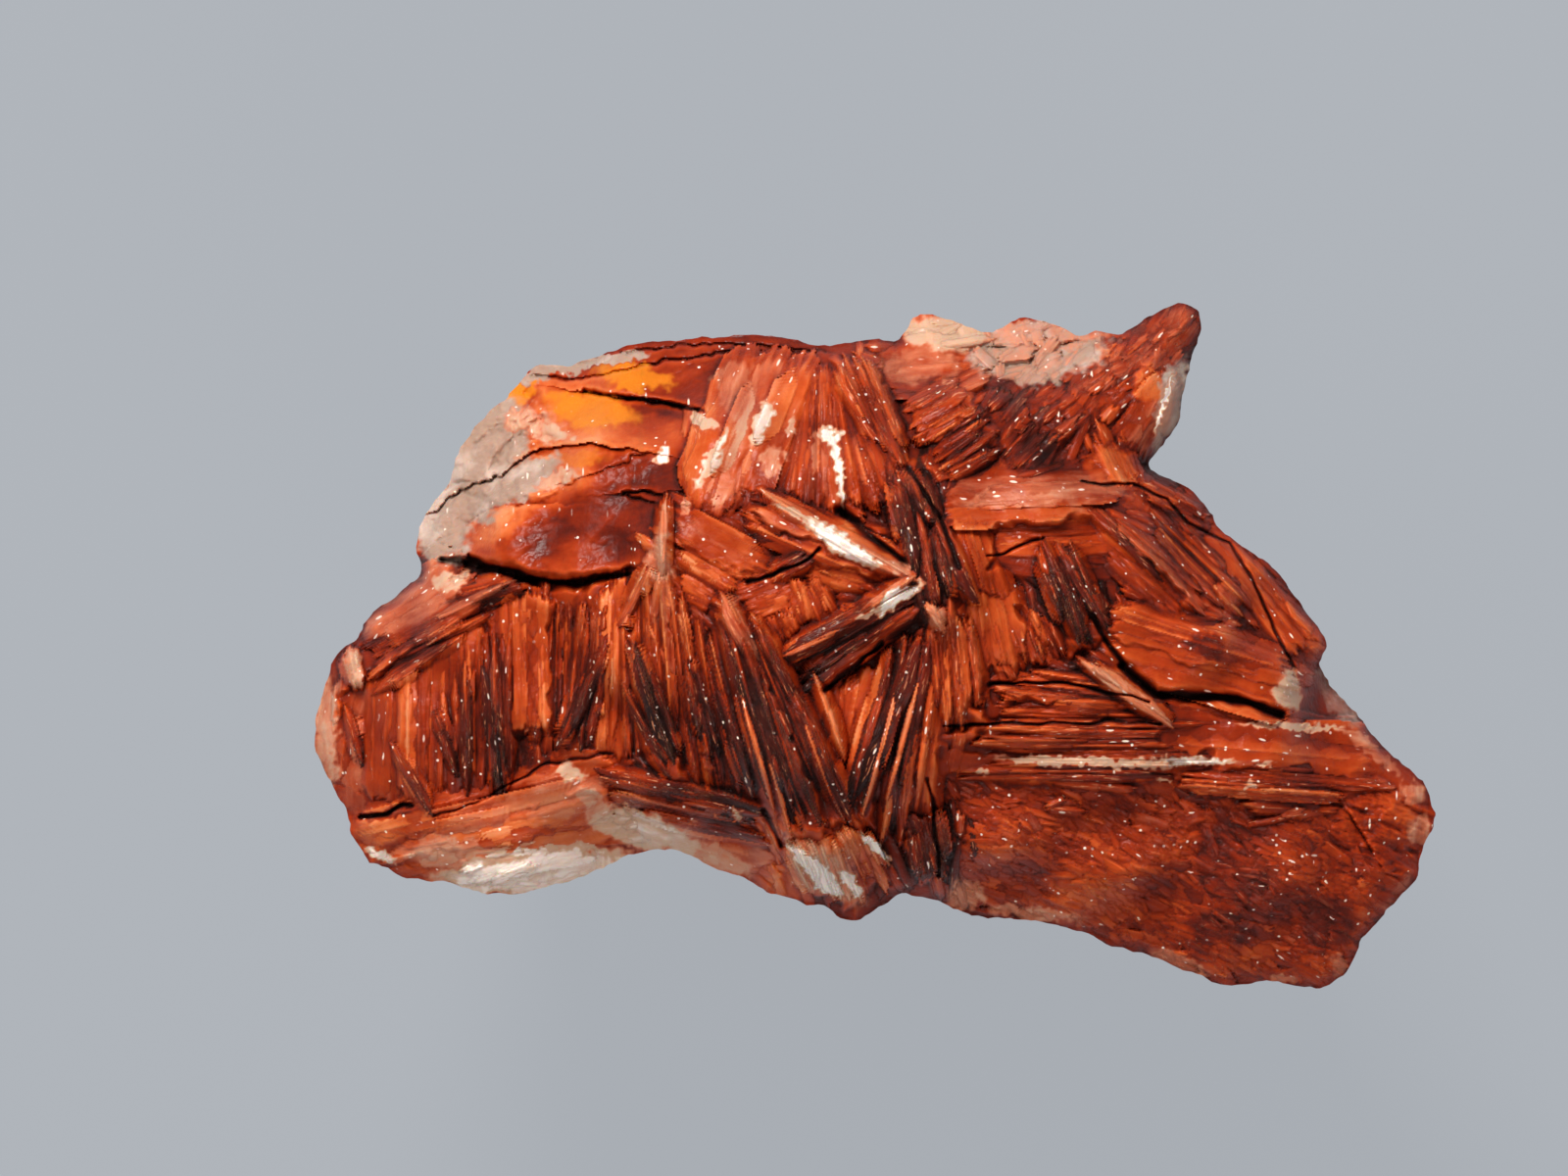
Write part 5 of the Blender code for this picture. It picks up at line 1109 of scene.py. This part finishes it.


# Colours, linear: from near black, which also paints the shade in crevices and gaps, over red to bright
# orange and salmon
TONES = [
    (0.00, (0.020, 0.0058, 0.0048)), (0.14, (0.052, 0.0085, 0.0057)), (0.28, (0.113, 0.0108, 0.0053)),
    (0.42, (0.230, 0.0182, 0.0036)), (0.56, (0.360, 0.036, 0.0056)), (0.70, (0.495, 0.071, 0.0125)),
    (0.85, (0.625, 0.134, 0.033)), (1.00, (0.730, 0.238, 0.095)),
]
SALMON = (0.62, 0.19, 0.095, 1.0)
CREAM = (0.62, 0.40, 0.27, 1.0)
PALE_WHITE_AND_GLINT = (0.95, 0.80, 0.72, 1.0)
YELLOW = (0.70, 0.205, 0.010, 1.0)
GREY = (0.39, 0.258, 0.195, 1.0)
# Colours of painted highlights: the bright edges and the glints
PAINTED_EDGE_HIGHLIGHT = (0.72, 0.27, 0.13, 1.0)
PAINTED_GLINT = (1.0, 0.82, 0.70, 1.0)

# Noise along the blades, as waves per millimetre along them, across them and from blade to blade
LINE_WAVES = (0.35, 6.0, 37.0)
HIGHLIGHT_STREAK_WAVES = (1.8, 13.0, 53.0)
VEIN_WAVES = (0.9, 3.0, 11.0)
GLINT_DASH_WAVES = (1.1, 3.6, 23.0)

# Noise all over the stone, as waves or specks per metre; the specks are painted glints
CLOUDS = 500.0
GRAINS = 5200.0
GLINT_SPECKS = 2100.0

CREST_LEVEL = 0.55           # what the crest layer holds on level ground
WAXY = {"Specular IOR Level": 0.12, "Subsurface Weight": 0.4, "Subsurface Radius": (1.0, 0.28, 0.12),
        "Subsurface Scale": 0.0005}


def barite_material():
    """Waxy, translucent red-orange barite with pale veins, painted glints, painted light on crests, painted
    shade in hollows and fine lines along its blades.
    """
    shading = Shading("barite_crystal")
    grain = shading.layer("grain", "Vector")
    crest = shading.layer("crest")
    lined = shading.layer("lines")
    places = shading.places()
    lines = shading.noise(shading.stretch(grain, LINE_WAVES), 1.0, 2.5, 0.6)
    highlight_streaks = shading.noise(shading.stretch(grain, HIGHLIGHT_STREAK_WAVES), 1.0, 2.0)
    veins = shading.noise(shading.stretch(grain, VEIN_WAVES), 1.0, 4.0)
    clouds = shading.noise(places, CLOUDS, 5.0, 0.6)
    grains = shading.noise(places, GRAINS, 2.0)

    # Crests are painted lighter and hollows darker: painted light and painted shade. The clouds are the
    # stone's own mottling.
    tone = shading.layer("tone") + (crest - CREST_LEVEL) * 0.5 + (clouds - 0.5) * 0.4
    tone = tone + (lines - 0.44) * lined * 0.55
    colour = shading.node("ShaderNodeValToRGB", {"stops": TONES}, {"Fac": tone})
    yellow = shading.layer("yellow") + (clouds - 0.5) * 0.7
    colour = shading.mix(yellow.above(0.05, 1.10), colour, YELLOW)
    grey = shading.layer("grey") + (clouds - 0.5) * 0.9
    stone = shading.mix(clouds.above(0.45, 0.70) * 0.35, GREY, PALE_WHITE_AND_GLINT)
    colour = shading.mix(grey.above(0.25, 0.85) * 0.95, colour, stone)
    # Paleness: the layer, the stone's own veins and lines, and crests painted paler as painted light.
    pale = shading.layer("pale") + (veins - 0.5) * 0.9 + (lines - 0.5) * lined * 0.8 + (crest - 0.6) * 0.3
    colour = shading.mix(pale.above(0.18, 0.90) * 0.9, colour, SALMON)
    colour = shading.mix(pale.above(0.60, 1.15) * 0.9, colour, CREAM)
    # The palest places turn white; where the strongest pale patches lie, this white is painted glints.
    colour = shading.mix(pale.above(1.25, 1.80), colour, PALE_WHITE_AND_GLINT)

    # Painted highlights: bright glint specks all over, short bright glint dashes along the blades, and
    # bright edges along the crests, painted into the colour
    glint_dots = 1 - shading.cells(places, GLINT_SPECKS, "Distance").above(0.09, 0.155)
    glint_dots = glint_dots * shading.cells(places, GLINT_SPECKS, "Color").above(0.38, 0.42)
    glint_dots = glint_dots * crest.above(0.4, 0.55) * clouds.above(0.36, 0.50)
    glint_dash_places = shading.stretch(grain, GLINT_DASH_WAVES)
    glint_dashes = 1 - shading.cells(glint_dash_places, 1.0, "Distance").above(0.12, 0.20)
    glint_dashes = glint_dashes * shading.cells(glint_dash_places, 1.0, "Color").above(0.60, 0.64) * crest.above(0.5, 0.62) * 0.9
    edges = highlight_streaks.above(0.60, 0.66) * crest.above(0.58, 0.74) * lined.above(0.25, 0.6) * 0.6
    colour = shading.mix(edges, colour, PAINTED_EDGE_HIGHLIGHT)
    colour = shading.mix((glint_dots + glint_dashes) * 0.85, colour, PAINTED_GLINT)

    rough = 0.34 + (clouds - 0.5) * 0.3 - edges * 0.15
    height = lines * lined * 0.9 + grains * 0.3 + clouds * 0.4
    bump = shading.node("ShaderNodeBump", {}, {"Strength": 0.8, "Distance": 0.00010, "Height": height})
    return shading.finish({"Base Color": colour, "Roughness": rough, "Normal": bump, **WAXY})


def mesh_of(name, verts, faces):
    mesh = bpy.data.meshes.new(name)
    places = (verts - (MIDDLE_X, 0, 0)) * MM
    mesh.from_pydata(places.tolist(), [], faces if isinstance(faces, list) else faces.tolist())
    return mesh


# A plain pale floor that is lit evenly, and soft light from above the picture's top
FLOOR_HALF = 1.5
FLOOR_PAINT = [(0.026, 0.028, 0.031, 1.0), (0.029, 0.031, 0.034, 1.0)]
FLOOR_GLOW = (0.371, 0.397, 0.432, 1.0)
LIGHTS = [
    # name, place, side, power, colour
    ("key", (-0.10, 0.32, 0.42), 0.16, 3.2, (1.0, 0.97, 0.93)),
    ("fill", (0.14, -0.34, 0.36), 0.24, 0.75, (1.0, 0.95, 0.9)),
    ("side", (-0.30, 0.12, 0.44), 0.24, 0.6, (1.0, 0.98, 0.95)),
]
LIT_PLACE = Vector((0.0, 0.0, 0.03))
SKY_COLOUR = (1.0, 0.96, 0.92, 1.0)
SKY_STRENGTH = 0.24


def make_lights():
    for name, place, side, power, colour in LIGHTS:
        lamp = bpy.data.lights.new(name, "AREA")
        lamp.shape = "RECTANGLE"
        lamp.size = lamp.size_y = side
        lamp.energy = power
        lamp.color = colour
        made = bpy.data.objects.new(name, lamp)
        made.location = place
        made.rotation_euler = (LIT_PLACE - Vector(place)).to_track_quat("-Z", "Y").to_euler()
        bpy.context.scene.collection.objects.link(made)
    world = bpy.data.worlds.new("soft_light")
    world.use_nodes = True
    sky = world.node_tree.nodes["Background"].inputs
    sky["Color"].default_value = SKY_COLOUR
    sky["Strength"].default_value = SKY_STRENGTH
    bpy.context.scene.world = world
    bpy.context.scene.view_settings.view_transform = "Standard"


def make_floor():
    mesh = bpy.data.meshes.new("floor")
    corners = [(-1, -1), (1, -1), (1, 1), (-1, 1)]
    mesh.from_pydata([(FLOOR_HALF * x, FLOOR_HALF * y, 0) for x, y in corners], [], [(0, 1, 2, 3)])
    shading = Shading("floor_paint")
    tint = shading.mix(shading.noise(shading.places(), 30.0, 2.0), *FLOOR_PAINT)
    mesh.materials.append(shading.finish({"Base Color": tint, "Roughness": 0.9, "Emission Color": FLOOR_GLOW,
                                          "Emission Strength": 1.0}))
    floor = bpy.data.objects.new("floor", mesh)
    bpy.context.scene.collection.objects.link(floor)


# The photograph's frame: its size and the outline's middle in it, in pixels, and a pixel's size
FRAME_WIDTH, FRAME_HEIGHT = 1600, 1200
OUTLINE_COLUMN, OUTLINE_ROW = 893.5, 658.5
PIXEL = 0.038385
FOCAL_LENGTH = 300.0
SENSOR = 36.0
FACE_LEVEL = 30.0            # height of the face that the frame is fitted to


def make_camera():
    """Straight above the face, framed as the photo is."""
    data = bpy.data.cameras.new("camera")
    data.lens = FOCAL_LENGTH
    data.sensor_width = SENSOR
    data.clip_start = 0.01
    made = bpy.data.objects.new("camera", data)
    x = (FRAME_WIDTH / 2 - OUTLINE_COLUMN) * PIXEL - MIDDLE_X
    y = (OUTLINE_ROW - FRAME_HEIGHT / 2) * PIXEL
    z = FACE_LEVEL + FRAME_WIDTH * PIXEL * FOCAL_LENGTH / SENSOR
    made.location = Vector((x, y, z)) * MM
    bpy.context.scene.collection.objects.link(made)
    bpy.context.scene.camera = made


def main():
    make_floor()
    make_lights()
    make_camera()
    material = barite_material()
    rng = np.random.default_rng(SEED)
    face = Face()
    face.add_masses()
    for outline, count, angle, spread, size, rise, tone in FLAKES:
        face.flakes(outline, count, angle, spread, size, rise, tone, rng)
    face.undergrowth(UNDERGROWTH, rng)
    for row in SHEAVES:
        face.sheaf(row, rng)
    face.single_blades(rng)
    face.open_gaps()
    face.z += GRIT * FIELD.layered(face.x * 2.5, face.y * 2.5, 6.0, 3, 0.7)
    for piece in face.pieces(material):
        if piece.name == "face_0":
            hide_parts(NODE)
    verts, faces, layers = grow_flanks(face)
    dress(mesh_of("flanks", verts, faces), layers, material, 40)


main()
